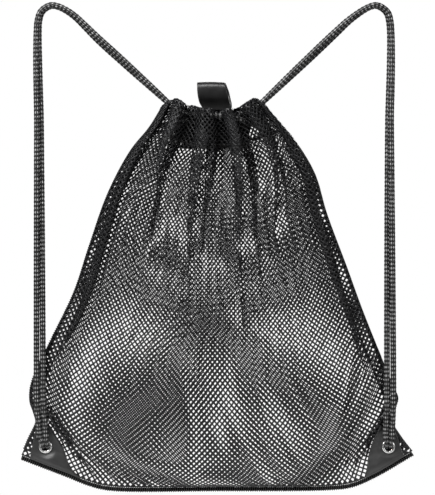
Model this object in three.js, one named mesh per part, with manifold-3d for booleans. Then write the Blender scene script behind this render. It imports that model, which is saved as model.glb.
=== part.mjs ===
// A net drawstring backpack, filled low and hanging from its two strap loops. Millimetres.
// +Z is up, -Y is the side that faces away from the wearer, +X is to the right seen from -Y.
// The origin is midway between the crowns of the two strap loops, at the cords' centre lines.
import * as THREE from 'three';
import { mergeVertices } from 'three/addons/utils/BufferGeometryUtils.js';
import Module from 'manifold-3d';

const wasm = await Module();
wasm.setup();

// ---------- driving dimensions ----------
const GAP = 0.35; // clearance between neighbouring solids
const FLAT_WIDTH = 400; // the cut width of each net panel
const NET_THICKNESS = 1.0;
const TAPE_THICKNESS = 0.8;
const PATCH_THICKNESS = 1.0;
const PATCH_GAP = 0.45; // between a patch and the net under it
const CORD_RADIUS = 3.0;
const CORD_PITCH = 6.35; // centre distance of two cords lying side by side
const CORD_SIDES = 8;
const STRAP_STEPS = 46;
const CASING_RUN_STEPS = 36;

const CORNER_Z = -446.5; // the net's outer bottom corners, above the binding
const CASING_TOP_Z = -101; // the casing's upper edge at its two ends
const CASING_DEPTH = 16.8; // how far the casing bulges beyond its ends, front and back
const CASING_END_HALF_GAP = 7.4; // half the slot at each end of the casing
const SEAM_HALF_GAP = 1.9; // half the distance between the panels along the side seams
const CORNER_HALF_GAP = NET_THICKNESS / 2 + GAP / 2; // the same where the corners are pressed flat
const PLEATS = 6;
const PLEAT_HEIGHT = 7;

const BINDING_HEIGHT = 4.2;
const BINDING_THICKNESS = 3.2;
const BINDING_GAP = GAP + 0.3; // below the net, whose lower edge slopes
const PATCH_HEIGHT_SHARE = 0.088;
const PATCH_REACH = 0.8; // share of the flat margin that a patch covers
const SEAM_TAPE_WIDTH = 7;
const SEAM_TAPE_THICKNESS = 1.6;
const SEAM_INSET = 1.3; // from the outline to the seam tape
const SEAM_LOW_Z = -409;
const SEAM_HIGH_Z = -134;

const LINING_HALF_WIDTH = 34;
const LINING_BOTTOM_Z = -142;
const LINING_WALL_BOTTOM_Z = -127;
const LINING_WALL_END_Y = 2.2; // the wall's distance from the middle plane at its two ends,
const LINING_WALL_RISE = 6.8; // how much more it is at the middle,
const LINING_WALL_SPAN = 72; // and the width of the arch it follows
const LINING_ROOF_Z = -105.6;
const LINING_ROOF_RISE = 3.6; // from the middle of the roof to its ends
const LINING_ROOF_EDGE = 1.6; // between the roof's edge and the net
const LINING_FOOT_EDGE = 2.2; // between the foot and the net
const MOUTH_TO_CASING = 20; // height above the corners where the net starts to count as casing

const EYELET_HOLE_RADIUS = 4.0;
const EYELET_BARREL_RADIUS = 4.5;
const EYELET_FLANGE_RADIUS = 6.7;
const EYELET_BACK_Y = 4.6; // the rolled rim's outermost point
const EYELET_Z = -441;
const RING_SIDES = 20;
const EYELET_X = { left: -169.8, right: 172.8 };
const STEM_RADIUS = 3.6;
const STRAP_FOOT_Y = -8; // the cords' centre plane where they reach the eyelets
const STRAP_FOOT_Z = -430;
const KNOT_GAP = 0.5; // between the straps' lower ends and the knots' squeezed stems

const LOOP_WIDTH = 29;
const LOOP_BAND_THICKNESS = 1.9;
const LOOP_BASE = new THREE.Vector3(-0.5, 4.5, -100.6);
const LOOP_HEIGHT = 24;
const LOOP_EYE_HALF_DEPTH = 6.2;
const LOOP_LEAN = -0.13; // sideways lean per millimetre of height

// ---------- materials ----------
const netMaterial = new THREE.MeshStandardMaterial({ color: 0x161616, roughness: 0.75, metalness: 0 });
const tapeMaterial = new THREE.MeshStandardMaterial({ color: 0x0c0c0d, roughness: 0.85, metalness: 0 });
const leatherMaterial = new THREE.MeshStandardMaterial({ color: 0x151518, roughness: 0.45, metalness: 0 });
const cordMaterial = new THREE.MeshStandardMaterial({ color: 0x1c1c1d, roughness: 0.7, metalness: 0 });
const metalMaterial = new THREE.MeshStandardMaterial({ color: 0xd6d6d8, roughness: 0.2, metalness: 1 });

const group = new THREE.Group();

function add(name, geometry, material) {
  const mesh = new THREE.Mesh(geometry, material);
  mesh.name = name;
  group.add(mesh);
  return mesh;
}

// ---------- small maths ----------
const lerp = THREE.MathUtils.lerp;
const clamp = THREE.MathUtils.clamp;
const smoothstep = THREE.MathUtils.smoothstep;

// A smooth function through [input, value] pairs, held level beyond the first and last pair.
function profile(pairs) {
  const curve = new THREE.CatmullRomCurve3(
    pairs.map(([t, value]) => new THREE.Vector3(t, value, 0)),
    false,
    'centripetal',
  );
  return (t) => {
    if (t <= pairs[0][0]) return pairs[0][1];
    if (t >= pairs[pairs.length - 1][0]) return pairs[pairs.length - 1][1];
    let low = 0;
    let high = 1;
    for (let i = 0; i < 40; i += 1) {
      const middle = (low + high) / 2;
      if (curve.getPoint(middle).x < t) low = middle;
      else high = middle;
    }
    return curve.getPoint((low + high) / 2).y;
  };
}

// ---------- solids ----------
function signedVolume(positions, index) {
  let sum = 0;
  const a = new THREE.Vector3();
  const b = new THREE.Vector3();
  const c = new THREE.Vector3();
  for (let i = 0; i < index.length; i += 3) {
    a.fromArray(positions, index[i] * 3);
    b.fromArray(positions, index[i + 1] * 3);
    c.fromArray(positions, index[i + 2] * 3);
    sum += a.dot(b.cross(c));
  }
  return sum / 6;
}

function closedGeometry(points, index) {
  const positions = points.flatMap((p) => [p.x, p.y, p.z]);
  if (signedVolume(positions, index) < 0) {
    for (let i = 0; i < index.length; i += 3) {
      [index[i + 1], index[i + 2]] = [index[i + 2], index[i + 1]];
    }
  }
  const geometry = new THREE.BufferGeometry();
  geometry.setAttribute('position', new THREE.Float32BufferAttribute(positions, 3));
  geometry.setIndex(index);
  geometry.computeVertexNormals();
  return geometry;
}

// A sheet of even thickness: surface(s, t) gives its middle, and us and ts are the grid lines.
function sheetGeometry(surface, us, ts, thickness, shift = 0) {
  const step = 1e-3;
  const points = [];
  for (const side of [-0.5, 0.5]) {
    for (const t of ts) {
      for (const u of us) {
        const along = surface(Math.min(u + step, us[us.length - 1]), t);
        along.sub(surface(Math.max(u - step, us[0]), t));
        const up = surface(u, Math.min(t + step, ts[ts.length - 1]));
        up.sub(surface(u, Math.max(t - step, ts[0])));
        const normal = along.cross(up).normalize();
        points.push(surface(u, t).addScaledVector(normal, side * thickness + shift));
      }
    }
  }
  const columns = us.length;
  const rows = ts.length;
  const half = columns * rows;
  const at = (side, i, j) => side * half + j * columns + i;
  const index = [];
  const quad = (a, b, c, d) => index.push(a, b, c, a, c, d);
  for (let j = 0; j + 1 < rows; j += 1) {
    for (let i = 0; i + 1 < columns; i += 1) {
      quad(at(0, i, j), at(0, i, j + 1), at(0, i + 1, j + 1), at(0, i + 1, j));
      quad(at(1, i, j), at(1, i + 1, j), at(1, i + 1, j + 1), at(1, i, j + 1));
    }
  }
  for (let i = 0; i + 1 < columns; i += 1) {
    quad(at(0, i, 0), at(0, i + 1, 0), at(1, i + 1, 0), at(1, i, 0));
    quad(at(1, i, rows - 1), at(1, i + 1, rows - 1), at(0, i + 1, rows - 1), at(0, i, rows - 1));
  }
  for (let j = 0; j + 1 < rows; j += 1) {
    quad(at(1, 0, j), at(1, 0, j + 1), at(0, 0, j + 1), at(0, 0, j));
    quad(at(0, columns - 1, j), at(0, columns - 1, j + 1), at(1, columns - 1, j + 1), at(1, columns - 1, j));
  }
  return closedGeometry(points, index);
}

// A solid through oval rings. Each ring has a centre, a width and a depth direction and two radii.
function loftGeometry(rings, sides) {
  const points = [];
  for (const ring of rings) {
    for (let i = 0; i < sides; i += 1) {
      const angle = (2 * Math.PI * i) / sides;
      const p = ring.centre.clone();
      p.addScaledVector(ring.across, Math.cos(angle) * ring.width);
      p.addScaledVector(ring.along, Math.sin(angle) * ring.depth);
      points.push(p);
    }
  }
  const index = [];
  for (let r = 0; r + 1 < rings.length; r += 1) {
    for (let i = 0; i < sides; i += 1) {
      const next = (i + 1) % sides;
      const a = r * sides + i;
      const b = r * sides + next;
      index.push(a, b, b + sides, a, b + sides, a + sides);
    }
  }
  const last = (rings.length - 1) * sides;
  for (let i = 1; i + 1 < sides; i += 1) {
    index.push(0, i + 1, i);
    index.push(last, last + i, last + i + 1);
  }
  return closedGeometry(points, index);
}

function tubeGeometry(curve, radius, sides, steps) {
  const section = new THREE.Shape();
  for (let i = 0; i < sides; i += 1) {
    const angle = (2 * Math.PI * i) / sides;
    const x = radius * Math.cos(angle);
    const y = radius * Math.sin(angle);
    if (i === 0) section.moveTo(x, y);
    else section.lineTo(x, y);
  }
  section.closePath();
  return new THREE.ExtrudeGeometry(section, { steps, extrudePath: curve, bevelEnabled: false });
}

function toManifold(geometry) {
  const bare = geometry.clone();
  bare.deleteAttribute('normal');
  bare.deleteAttribute('uv');
  const merged = mergeVertices(bare, 1e-5);
  return new wasm.Manifold(
    new wasm.Mesh({
      numProp: 3,
      vertProperties: new Float32Array(merged.attributes.position.array),
      triVerts: new Uint32Array(merged.index.array),
    }),
  );
}

function fromManifold(solid) {
  const mesh = solid.getMesh();
  const geometry = new THREE.BufferGeometry();
  geometry.setAttribute('position', new THREE.BufferAttribute(new Float32Array(mesh.vertProperties), 3));
  geometry.setIndex(new THREE.BufferAttribute(new Uint32Array(mesh.triVerts), 1));
  geometry.computeVertexNormals();
  return geometry;
}

function withEyeletHoles(geometry, sides) {
  let solid = toManifold(geometry);
  for (const side of sides) {
    const drill = new THREE.CylinderGeometry(EYELET_BARREL_RADIUS + GAP, EYELET_BARREL_RADIUS + GAP, 30, 20);
    drill.translate(EYELET_X[side], 0, EYELET_Z);
    solid = solid.subtract(toManifold(drill));
  }
  return fromManifold(solid);
}

// ---------- the bag's shape ----------
// Left and right outlines by height, from the flat corners over the side bulges to the casing.
const leftOutline = profile([
  [CORNER_Z, -194],
  [-430, -186.5],
  [-415, -180],
  [-404, -182.5],
  [-392, -186],
  [-375, -184],
  [-336, -166],
  [-285, -141.5],
  [-240, -126.5],
  [-187, -107.5],
  [-145, -85],
  [-122, -66],
  [CASING_TOP_Z, -53],
]);
const rightOutline = profile([
  [CORNER_Z, 197],
  [-430, 184.5],
  [-415, 176.5],
  [-402, 180.5],
  [-393, 182.5],
  [-380, 177],
  [-307, 147.5],
  [-263, 131.5],
  [-209, 111.5],
  [-169, 99.5],
  [-138, 81.5],
  [-119, 66],
  [CASING_TOP_Z, 50],
]);
// Heights of the net's lower and upper edges, by the place across the flat cloth. The upper edge is
// lumpy where it is gathered.
const lowerLine = profile([
  [0, -449.3],
  [16, -455.3],
  [47, -466.9],
  [70, -475.8],
  [90, -480.2],
  [200, -480.7],
  [318, -479.6],
  [338, -477],
  [362, -467],
  [400, -445.3],
]);
const upperLine = profile([
  [0, CASING_TOP_Z],
  [48, -98.5],
  [120, -102],
  [200, -105],
  [280, -102],
  [352, -98.5],
  [400, CASING_TOP_Z],
]);
const lowerEdge = (u) => lowerLine(u * FLAT_WIDTH);
const upperEdge = (u) => upperLine(u * FLAT_WIDTH);

// How far the middle of each panel bulges, by the share of the height.
const bulge = profile([
  [0, 0],
  [0.03, 15],
  [0.08, 31],
  [0.16, 43],
  [0.27, 47],
  [0.42, 41],
  [0.6, 31],
  [0.78, 23],
  [0.9, 18],
  [1, CASING_DEPTH],
]);

// The exponent of the panels' cross-section: small is full at the sides, over 1 is flat there.
const roundness = profile([
  [0, 1.4],
  [0.1, 1.2],
  [0.25, 0.85],
  [0.5, 0.72],
  [0.8, 0.6],
]);

function flatMargin(v) {
  return 0.18 * clamp(1 - v / 0.13, 0, 1);
}

function seamHalfGap(v) {
  const seam = lerp(CORNER_HALF_GAP, SEAM_HALF_GAP, smoothstep(v, 0.085, 0.115));
  return lerp(seam, CASING_END_HALF_GAP, smoothstep(v, 0.85, 0.94));
}

// The middle surface of a net panel. direction is -1 for the front panel and 1 for the back one.
function panelPoint(u, v, direction) {
  const sideZ = lerp(CORNER_Z, CASING_TOP_Z, v);
  const x = lerp(leftOutline(sideZ), rightOutline(sideZ), u);
  const z = lerp(lowerEdge(u), upperEdge(u), v);
  const margin = flatMargin(v);
  const share = clamp((u - margin) / (1 - 2 * margin), 0, 1);
  const lens = Math.max(Math.sin(Math.PI * share), 0) ** roundness(v);
  const pleat = PLEAT_HEIGHT * smoothstep(v, 0.55, 1) * (1 - Math.cos(2 * Math.PI * PLEATS * u)) * 0.5;
  const y = seamHalfGap(v) + bulge(v) * lens + pleat * Math.sin(Math.PI * u);
  return new THREE.Vector3(x, direction * y, z);
}

function gridLines(count, ease) {
  return Array.from({ length: count + 1 }, (_, i) => {
    const t = i / count;
    return lerp(t, (1 - Math.cos(Math.PI * t)) / 2, ease);
  });
}

const columnLines = gridLines(30, 0.5);
const rowLines = [0, 0.02, 0.045, 0.07, 0.09, 0.115, 0.14, 0.17, 0.21, 0.27].concat(
  [0.36, 0.46, 0.56, 0.66, 0.75, 0.83, 0.88, 0.92, 0.96, 1],
);

function netPanel(direction) {
  const surface = (u, v) => panelPoint(u, v, direction);
  const sheet = sheetGeometry(surface, columnLines, rowLines, NET_THICKNESS);
  return withEyeletHoles(sheet, ['left', 'right']);
}

// ---------- casing linings ----------
function liningWallY(x) {
  return LINING_WALL_END_Y + LINING_WALL_RISE * Math.cos((Math.PI * x) / LINING_WALL_SPAN);
}

// The share of the panel's width at which the panel reaches x, at the share v of its height.
function widthShareAt(x, v) {
  const sideZ = lerp(CORNER_Z, CASING_TOP_Z, v);
  return (x - leftOutline(sideZ)) / (rightOutline(sideZ) - leftOutline(sideZ));
}

function netInnerY(x, z) {
  const v = (z - CORNER_Z - MOUTH_TO_CASING) / (CASING_TOP_Z - CORNER_Z - MOUTH_TO_CASING);
  const share = clamp(v, 0, 1);
  return Math.abs(panelPoint(widthShareAt(x, share), share, 1).y) - NET_THICKNESS / 2 - 2 * GAP;
}

// A tape that starts under the net's upper edge, runs inwards as a roof, down as the casing's inner
// wall and out again to the net, where its lower edge is stitched down.
function liningPoint(s, t, direction) {
  const x = lerp(-LINING_HALF_WIDTH, LINING_HALF_WIDTH, s);
  const roofZ = LINING_ROOF_Z + LINING_ROOF_RISE * (x / LINING_HALF_WIDTH) ** 2;
  const wallY = liningWallY(x);
  const roofY = netInnerY(x, roofZ) - LINING_ROOF_EDGE;
  const footY = netInnerY(x, LINING_BOTTOM_Z) - LINING_FOOT_EDGE;
  const corners = [
    [roofY, roofZ],
    [wallY + 1.5, roofZ],
    [wallY, roofZ - 1.8],
    [wallY, LINING_WALL_BOTTOM_Z],
    [footY, LINING_BOTTOM_Z],
  ];
  const scaled = t * (corners.length - 1);
  const leg = Math.min(Math.floor(scaled), corners.length - 2);
  const y = lerp(corners[leg][0], corners[leg + 1][0], scaled - leg);
  const z = lerp(corners[leg][1], corners[leg + 1][1], scaled - leg);
  return new THREE.Vector3(x, direction * y, z);
}

function casingLining(direction) {
  const surface = (s, t) => liningPoint(s, t, direction);
  return sheetGeometry(surface, gridLines(14, 0), gridLines(8, 0), TAPE_THICKNESS);
}

// ---------- seams and corner patches ----------
function sideSeam(outline, inward) {
  const surface = (s, t) => {
    const z = lerp(SEAM_LOW_Z, SEAM_HIGH_Z, t);
    const inset = SEAM_INSET + s * SEAM_TAPE_WIDTH;
    return new THREE.Vector3(outline(z) + inward * inset, 0, z);
  };
  return sheetGeometry(surface, [0, 1], gridLines(30, 0), SEAM_TAPE_THICKNESS);
}

function bottomBinding() {
  const surface = (u, t) => {
    const x = lerp(leftOutline(CORNER_Z), rightOutline(CORNER_Z), u);
    return new THREE.Vector3(x, 0, lowerEdge(u) - BINDING_GAP - BINDING_HEIGHT * (1 - t));
  };
  return sheetGeometry(surface, columnLines, [0, 1], BINDING_THICKNESS);
}

// A leather corner patch lies flat on the net and narrows upwards to the neck above the eyelet.
function cornerPatch(direction, side) {
  const surface = (s, t) => {
    const v = PATCH_HEIGHT_SHARE * t;
    const reach = PATCH_REACH * flatMargin(v) * s;
    return panelPoint(side === 'left' ? reach : 1 - reach, v, direction);
  };
  const outward = surface(0.5, 0.5).y < 0 ? 1 : -1;
  const lift = NET_THICKNESS / 2 + PATCH_GAP + PATCH_THICKNESS / 2;
  const handed = side === 'left' ? outward : -outward;
  const sheet = sheetGeometry(surface, gridLines(6, 0), gridLines(5, 0), PATCH_THICKNESS, handed * lift);
  return withEyeletHoles(sheet, [side]);
}

// ---------- eyelets ----------
const PATCH_FACE_Y = CORNER_HALF_GAP + NET_THICKNESS / 2 + PATCH_GAP + PATCH_THICKNESS;

function latheRing(corners) {
  const points = corners.map(([radius, y]) => new THREE.Vector2(radius, y));
  points.push(points[0].clone());
  return new THREE.LatheGeometry(points, RING_SIDES);
}

// The barrel with its domed front flange and the rim that is rolled over the washer behind.
function eyelet(side) {
  const front = -(PATCH_FACE_Y + GAP);
  const geometry = latheRing([
    [EYELET_HOLE_RADIUS, front - 0.5],
    [EYELET_HOLE_RADIUS + 0.5, front - 1.1],
    [EYELET_FLANGE_RADIUS - 0.9, front - 1.1],
    [EYELET_FLANGE_RADIUS, front - 0.4],
    [EYELET_FLANGE_RADIUS - 0.1, front],
    [EYELET_BARREL_RADIUS, front],
    [EYELET_BARREL_RADIUS, EYELET_BACK_Y - 0.6],
    [EYELET_BARREL_RADIUS + 1.1, EYELET_BACK_Y - 0.6],
    [EYELET_BARREL_RADIUS + 0.9, EYELET_BACK_Y],
    [EYELET_HOLE_RADIUS, EYELET_BACK_Y - 0.3],
  ]);
  return geometry.translate(EYELET_X[side], 0, EYELET_Z);
}

function eyeletWasher(side) {
  const inner = EYELET_BARREL_RADIUS + GAP;
  const geometry = latheRing([
    [inner, PATCH_FACE_Y + GAP],
    [EYELET_FLANGE_RADIUS, PATCH_FACE_Y + GAP],
    [EYELET_FLANGE_RADIUS - 0.3, EYELET_BACK_Y - 1],
    [inner, EYELET_BACK_Y - 1],
  ]);
  return geometry.translate(EYELET_X[side], 0, EYELET_Z);
}

// ---------- cords ----------
// Each strap is a pair of cords. A row gives the pair's centre and how far the pair is turned, in
// degrees: 0 puts one cord in front of the other, 90 puts them side by side.
const strapRoutes = {
  left: [
    [-47.3, 0, -97.3, 0],
    [-62, 0, -83.8, 10],
    [-80, 0, -67.5, 20],
    [-97, 0, -52, 26],
    [-112.5, 0, -38, 26],
    [-122, 0, -29, 22],
    [-131, 0, -20, 16],
    [-141, 0, -10.6, 10],
    [-150.4, 0, -4.2, 6],
    [-157, 0, -1.2, 4],
    [-163.5, 0, 0, 4],
    [-169.5, 0, -2.2, 6],
    [-174.3, 0, -6.7, 10],
    [-177, 0, -15, 14],
    [-177.8, -0.5, -27, 18],
    [-177.7, -1.5, -55, 27],
    [-177, -3, -85, 32],
    [-176.3, -4, -110, 35],
    [-175.9, -6, -160, 42],
    [-175.5, -8.5, -210, 50],
    [-175.2, -10.5, -260, 58],
    [-174.9, -12.5, -310, 66],
    [-174.6, -14.3, -360, 76],
    [-174.3, -14.5, -395, 85],
    [-173.5, -11.2, -411, 90],
    [-172.6, -8.15, -423.5, 90],
    [-172.5, STRAP_FOOT_Y, STRAP_FOOT_Z, 90],
  ],
  right: [
    [46.3, 0, -97.3, 0],
    [61, 0, -83.4, 10],
    [79, 0, -66.3, 20],
    [97, 0, -49.3, 26],
    [113, 0, -34, 26],
    [123, 0, -24.6, 22],
    [132, 0, -16.2, 16],
    [142.3, 0, -8.3, 10],
    [150, 0, -3.4, 6],
    [155.5, 0, -0.9, 4],
    [160.7, 0, 0, 4],
    [167, 0, -2.6, 6],
    [172.1, 0, -7.9, 10],
    [174.2, 0, -15.5, 12],
    [175.2, -0.5, -27, 12],
    [175.3, -1.5, -55, 18],
    [174.6, -3, -85, 22],
    [173.8, -4, -110, 24],
    [173.6, -6, -160, 34],
    [173.5, -8.5, -210, 44],
    [173.5, -10.5, -260, 54],
    [173.5, -12.5, -310, 64],
    [173.5, -14.3, -360, 76],
    [173.5, -14.5, -395, 85],
    [173.2, -11.2, -411, 90],
    [172.95, -8.15, -423.5, 90],
    [172.9, STRAP_FOOT_Y, STRAP_FOOT_Z, 90],
  ],
};

function spline(points) {
  return new THREE.CatmullRomCurve3(points, false, 'centripetal');
}

// One cord of a pair: which is -1 for the cord that is in front at the casing, 1 for the other.
function strapCordCurve(side, which) {
  const rows = strapRoutes[side];
  const centre = spline(rows.map(([x, y, z]) => new THREE.Vector3(x, y, z)));
  const back = new THREE.Vector3(0, 1, 0);
  const outer = side === 'left' ? 1 : -1;
  return spline(
    rows.map(([x, y, z, turn], i) => {
      const tangent = centre.getTangent(i / (rows.length - 1));
      const across = tangent.clone().cross(back).normalize();
      const depth = across.clone().cross(tangent).normalize();
      const angle = THREE.MathUtils.degToRad(turn);
      const shift = (which * CORD_PITCH) / 2;
      const p = new THREE.Vector3(x, y, z);
      p.addScaledVector(depth, shift * Math.cos(angle));
      return p.addScaledVector(across, shift * outer * Math.sin(angle));
    }),
  );
}

// The part of the left cord that the casing hides: in at the left, along the front, around the right
// end and back. The right cord is its mirror image, nearer the middle where the two cross.
const casingRunFront = {
  left: [
    [-46.6, -3.2, -97.95],
    [-42, -3.7, -102.2],
    [-36, -7, -106.2],
    [-26, -14, -108.6],
    [-12, -18.5, -110],
    [0, -19.9, -111],
    [14, -19.6, -113],
    [28, -16.5, -116],
    [40, -11.5, -118.5],
    [49, -6.3, -119.6],
    [53.5, -2.4, -120],
  ],
  right: [
    [45.6, -3.2, -97.95],
    [41.2, -3.5, -102.2],
    [36, -5.8, -106.2],
    [26, -9.5, -108.6],
    [12, -12, -110],
    [0, -13, -111],
    [-14, -12.2, -113],
    [-28, -10.4, -116],
    [-40, -7.8, -118.5],
    [-49, -5.6, -119.6],
    [-53.5, -2.4, -120],
  ],
};

function casingRun(side) {
  const front = casingRunFront[side].map((p) => new THREE.Vector3(...p));
  const back = front.map((p) => new THREE.Vector3(p.x, -p.y, p.z)).reverse();
  return tubeGeometry(spline([...front, ...back]), CORD_RADIUS, CORD_SIDES, CASING_RUN_STEPS);
}

// Both ends of a strap's cords squeezed together through the eyelet, with the knot behind it.
function cordKnot(side) {
  const x = new THREE.Vector3(1, 0, 0);
  const y = new THREE.Vector3(0, 1, 0);
  const z = new THREE.Vector3(0, 0, 1);
  const slope = new THREE.Vector3(0, -1, 1).normalize();
  const footX = strapRoutes[side][strapRoutes[side].length - 1][0];
  const eyeletX = EYELET_X[side];
  const ring = (cx, cy, cz, along, width, depth) => ({
    centre: new THREE.Vector3(cx, cy, cz),
    across: x,
    along,
    width,
    depth,
  });
  const rings = [
    ring(footX, STRAP_FOOT_Y, STRAP_FOOT_Z - KNOT_GAP, y, CORD_PITCH / 2 + CORD_RADIUS, CORD_RADIUS),
    ring(lerp(footX, eyeletX, 0.35), STRAP_FOOT_Y, STRAP_FOOT_Z - 4.5, y, 5.4, CORD_RADIUS),
    ring(lerp(footX, eyeletX, 0.75), STRAP_FOOT_Y + 0.5, EYELET_Z + 2.4, slope.clone().negate(), 4.4, 3.3),
    ring(eyeletX, STRAP_FOOT_Y + 2.6, EYELET_Z, z.clone().negate(), STEM_RADIUS, STEM_RADIUS),
  ];
  const knot = [
    [5.2, STEM_RADIUS],
    [5.6, 5.8],
    [7.2, 7.8],
    [10.4, 8.8],
    [13.6, 7.8],
    [16, 5],
    [16.8, 2],
  ];
  for (const [depth, radius] of knot) {
    rings.push(ring(eyeletX, depth, EYELET_Z, z.clone().negate(), radius, radius));
  }
  return loftGeometry(rings, 16);
}

// ---------- hang loop ----------
function lean(geometry) {
  const positions = geometry.attributes.position;
  for (let i = 0; i < positions.count; i += 1) {
    positions.setX(i, positions.getX(i) + LOOP_LEAN * (positions.getZ(i) - LOOP_BASE.z));
  }
  return geometry;
}

// The band's side view: two legs pressed together at the base that open into a rounded loop.
function loopOutline(inset) {
  const halfFoot = LOOP_BAND_THICKNESS - inset;
  const halfTop = LOOP_EYE_HALF_DEPTH - inset;
  const shoulder = LOOP_HEIGHT - LOOP_EYE_HALF_DEPTH;
  const leg = new THREE.CubicBezierCurve(
    new THREE.Vector2(-halfFoot, LOOP_BAND_THICKNESS + inset),
    new THREE.Vector2(-halfFoot, 9),
    new THREE.Vector2(-halfTop, 9),
    new THREE.Vector2(-halfTop, shoulder),
  );
  const left = leg.getPoints(8);
  for (let i = 1; i < 6; i += 1) {
    const angle = Math.PI - (Math.PI / 2) * (i / 6);
    left.push(new THREE.Vector2(halfTop * Math.cos(angle), shoulder + halfTop * Math.sin(angle)));
  }
  const right = left.map((p) => new THREE.Vector2(-p.x, p.y)).reverse();
  return [...left, new THREE.Vector2(0, shoulder + halfTop), ...right];
}

// Extrudes a side view, drawn in Y and Z, along X and sets it on the loop's base.
function bandGeometry(outline) {
  const geometry = new THREE.ExtrudeGeometry(outline, { depth: LOOP_WIDTH, steps: 1, bevelEnabled: false });
  geometry.translate(0, 0, -LOOP_WIDTH / 2);
  geometry.applyMatrix4(new THREE.Matrix4().makeBasis(
    new THREE.Vector3(0, 1, 0),
    new THREE.Vector3(0, 0, 1),
    new THREE.Vector3(1, 0, 0),
  ));
  return lean(geometry.translate(LOOP_BASE.x, LOOP_BASE.y, LOOP_BASE.z));
}

// The outline's foot is rounded about the fold line that the loop swings on.
function hangLoop() {
  const points = loopOutline(0);
  for (let i = 1; i < 6; i += 1) {
    const angle = (-Math.PI * i) / 6;
    const y = LOOP_BAND_THICKNESS * Math.cos(angle);
    points.push(new THREE.Vector2(y, LOOP_BAND_THICKNESS * (1 + Math.sin(angle))));
  }
  const outline = new THREE.Shape(points);
  outline.holes.push(new THREE.Path(loopOutline(LOOP_BAND_THICKNESS - 0.2).reverse()));
  return bandGeometry(outline);
}

function hangLoopAnchor() {
  const outline = new THREE.Shape();
  const half = LOOP_BAND_THICKNESS;
  const bottom = LINING_WALL_BOTTOM_Z - 4 - LOOP_BASE.z;
  outline.moveTo(-half, bottom);
  outline.lineTo(half, bottom);
  outline.lineTo(half, -GAP);
  outline.lineTo(-half, -GAP);
  outline.closePath();
  return bandGeometry(outline);
}

// ---------- assembly ----------
add('front_net_panel', netPanel(-1), netMaterial);
add('back_net_panel', netPanel(1), netMaterial);
add('front_casing_lining', casingLining(-1), tapeMaterial);
add('back_casing_lining', casingLining(1), tapeMaterial);
add('left_side_seam', sideSeam(leftOutline, 1), tapeMaterial);
add('right_side_seam', sideSeam(rightOutline, -1), tapeMaterial);
add('bottom_binding', bottomBinding(), tapeMaterial);
for (const side of ['left', 'right']) {
  add(`front_${side}_corner_patch`, cornerPatch(-1, side), leatherMaterial);
  add(`back_${side}_corner_patch`, cornerPatch(1, side), leatherMaterial);
  add(`${side}_eyelet`, eyelet(side), metalMaterial);
  add(`${side}_eyelet_washer`, eyeletWasher(side), metalMaterial);
  add(`${side}_cord_knot`, cordKnot(side), cordMaterial);
  add(`${side}_cord_in_casing`, casingRun(side), cordMaterial);
  const names = { '-1': 'front', 1: 'back' };
  for (const which of [-1, 1]) {
    const tube = tubeGeometry(strapCordCurve(side, which), CORD_RADIUS, CORD_SIDES, STRAP_STEPS);
    add(`${side}_strap_${names[which]}_cord`, tube, cordMaterial);
  }
}
add('hang_loop', hangLoop(), leatherMaterial);
add('hang_loop_anchor', hangLoopAnchor(), leatherMaterial);

export default group;
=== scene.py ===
import math

import bpy
import numpy as np
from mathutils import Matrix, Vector


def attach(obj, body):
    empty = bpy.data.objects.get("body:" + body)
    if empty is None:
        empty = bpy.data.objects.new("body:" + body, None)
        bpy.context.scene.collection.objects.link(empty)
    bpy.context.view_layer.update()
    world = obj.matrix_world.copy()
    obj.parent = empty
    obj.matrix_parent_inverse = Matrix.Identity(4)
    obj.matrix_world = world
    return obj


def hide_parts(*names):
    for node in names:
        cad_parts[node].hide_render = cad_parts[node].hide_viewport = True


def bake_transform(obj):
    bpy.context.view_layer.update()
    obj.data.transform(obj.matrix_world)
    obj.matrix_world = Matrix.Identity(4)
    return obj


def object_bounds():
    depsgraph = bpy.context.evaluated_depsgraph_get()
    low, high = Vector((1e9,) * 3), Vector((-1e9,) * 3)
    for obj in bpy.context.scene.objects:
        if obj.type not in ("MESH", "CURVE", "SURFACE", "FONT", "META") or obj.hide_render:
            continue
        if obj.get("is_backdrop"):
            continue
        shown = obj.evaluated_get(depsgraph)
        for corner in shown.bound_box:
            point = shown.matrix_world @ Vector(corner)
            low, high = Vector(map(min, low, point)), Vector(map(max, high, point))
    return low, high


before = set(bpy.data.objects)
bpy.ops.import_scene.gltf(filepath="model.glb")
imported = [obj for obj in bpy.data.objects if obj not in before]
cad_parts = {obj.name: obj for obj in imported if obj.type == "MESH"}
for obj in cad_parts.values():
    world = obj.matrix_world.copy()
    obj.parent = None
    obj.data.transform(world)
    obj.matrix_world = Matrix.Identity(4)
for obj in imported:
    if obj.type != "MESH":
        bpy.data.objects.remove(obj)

CAD_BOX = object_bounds()
MM = 0.001

# ---------- driving dimensions, in millimetres ----------
CORD_RADIUS = 3.0
CORD_PITCH = 6.35
CORNER_Z = -446.5
CASING_TOP_Z = -101.0
CASING_DEPTH = 16.8
CASING_END_HALF_GAP = 7.4
SEAM_HALF_GAP = 1.5
CORNER_HALF_GAP = 0.85
PATCH_FACE_Y = 2.625
EYELET_Z = -441.0
EYELET_X = {"left": -169.8, "right": 172.8}
EYELET_HOLE = 4.0
EYELET_FLANGE = 6.7
CLOTH_WIDTH = 400.0
CLOTH_HEIGHT = 400.0
NET_HALF_STEP = 400.0 / 140  # half the distance between two holes of one row
NET_THREAD = 1.5
NET_THICKNESS = 1.0
OPEN_SHARE_LIMITS = (0.12, 0.75)  # least and greatest half width of a hole, in half steps
FOLD_CROWDING = 2.2  # how much wider the threads look where the net is folded over
FOLD_CROWDING_REACH = 3.5
CASING_RIDGE = 21.0  # how far the gathered casing's ridges stand out from its valleys
CASING_VALLEY = 0.35  # the share of that which lies behind the casing's mean surface
FOLD_LIFT = 5.0  # how far a lapped fold stands out from the cloth
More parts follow.
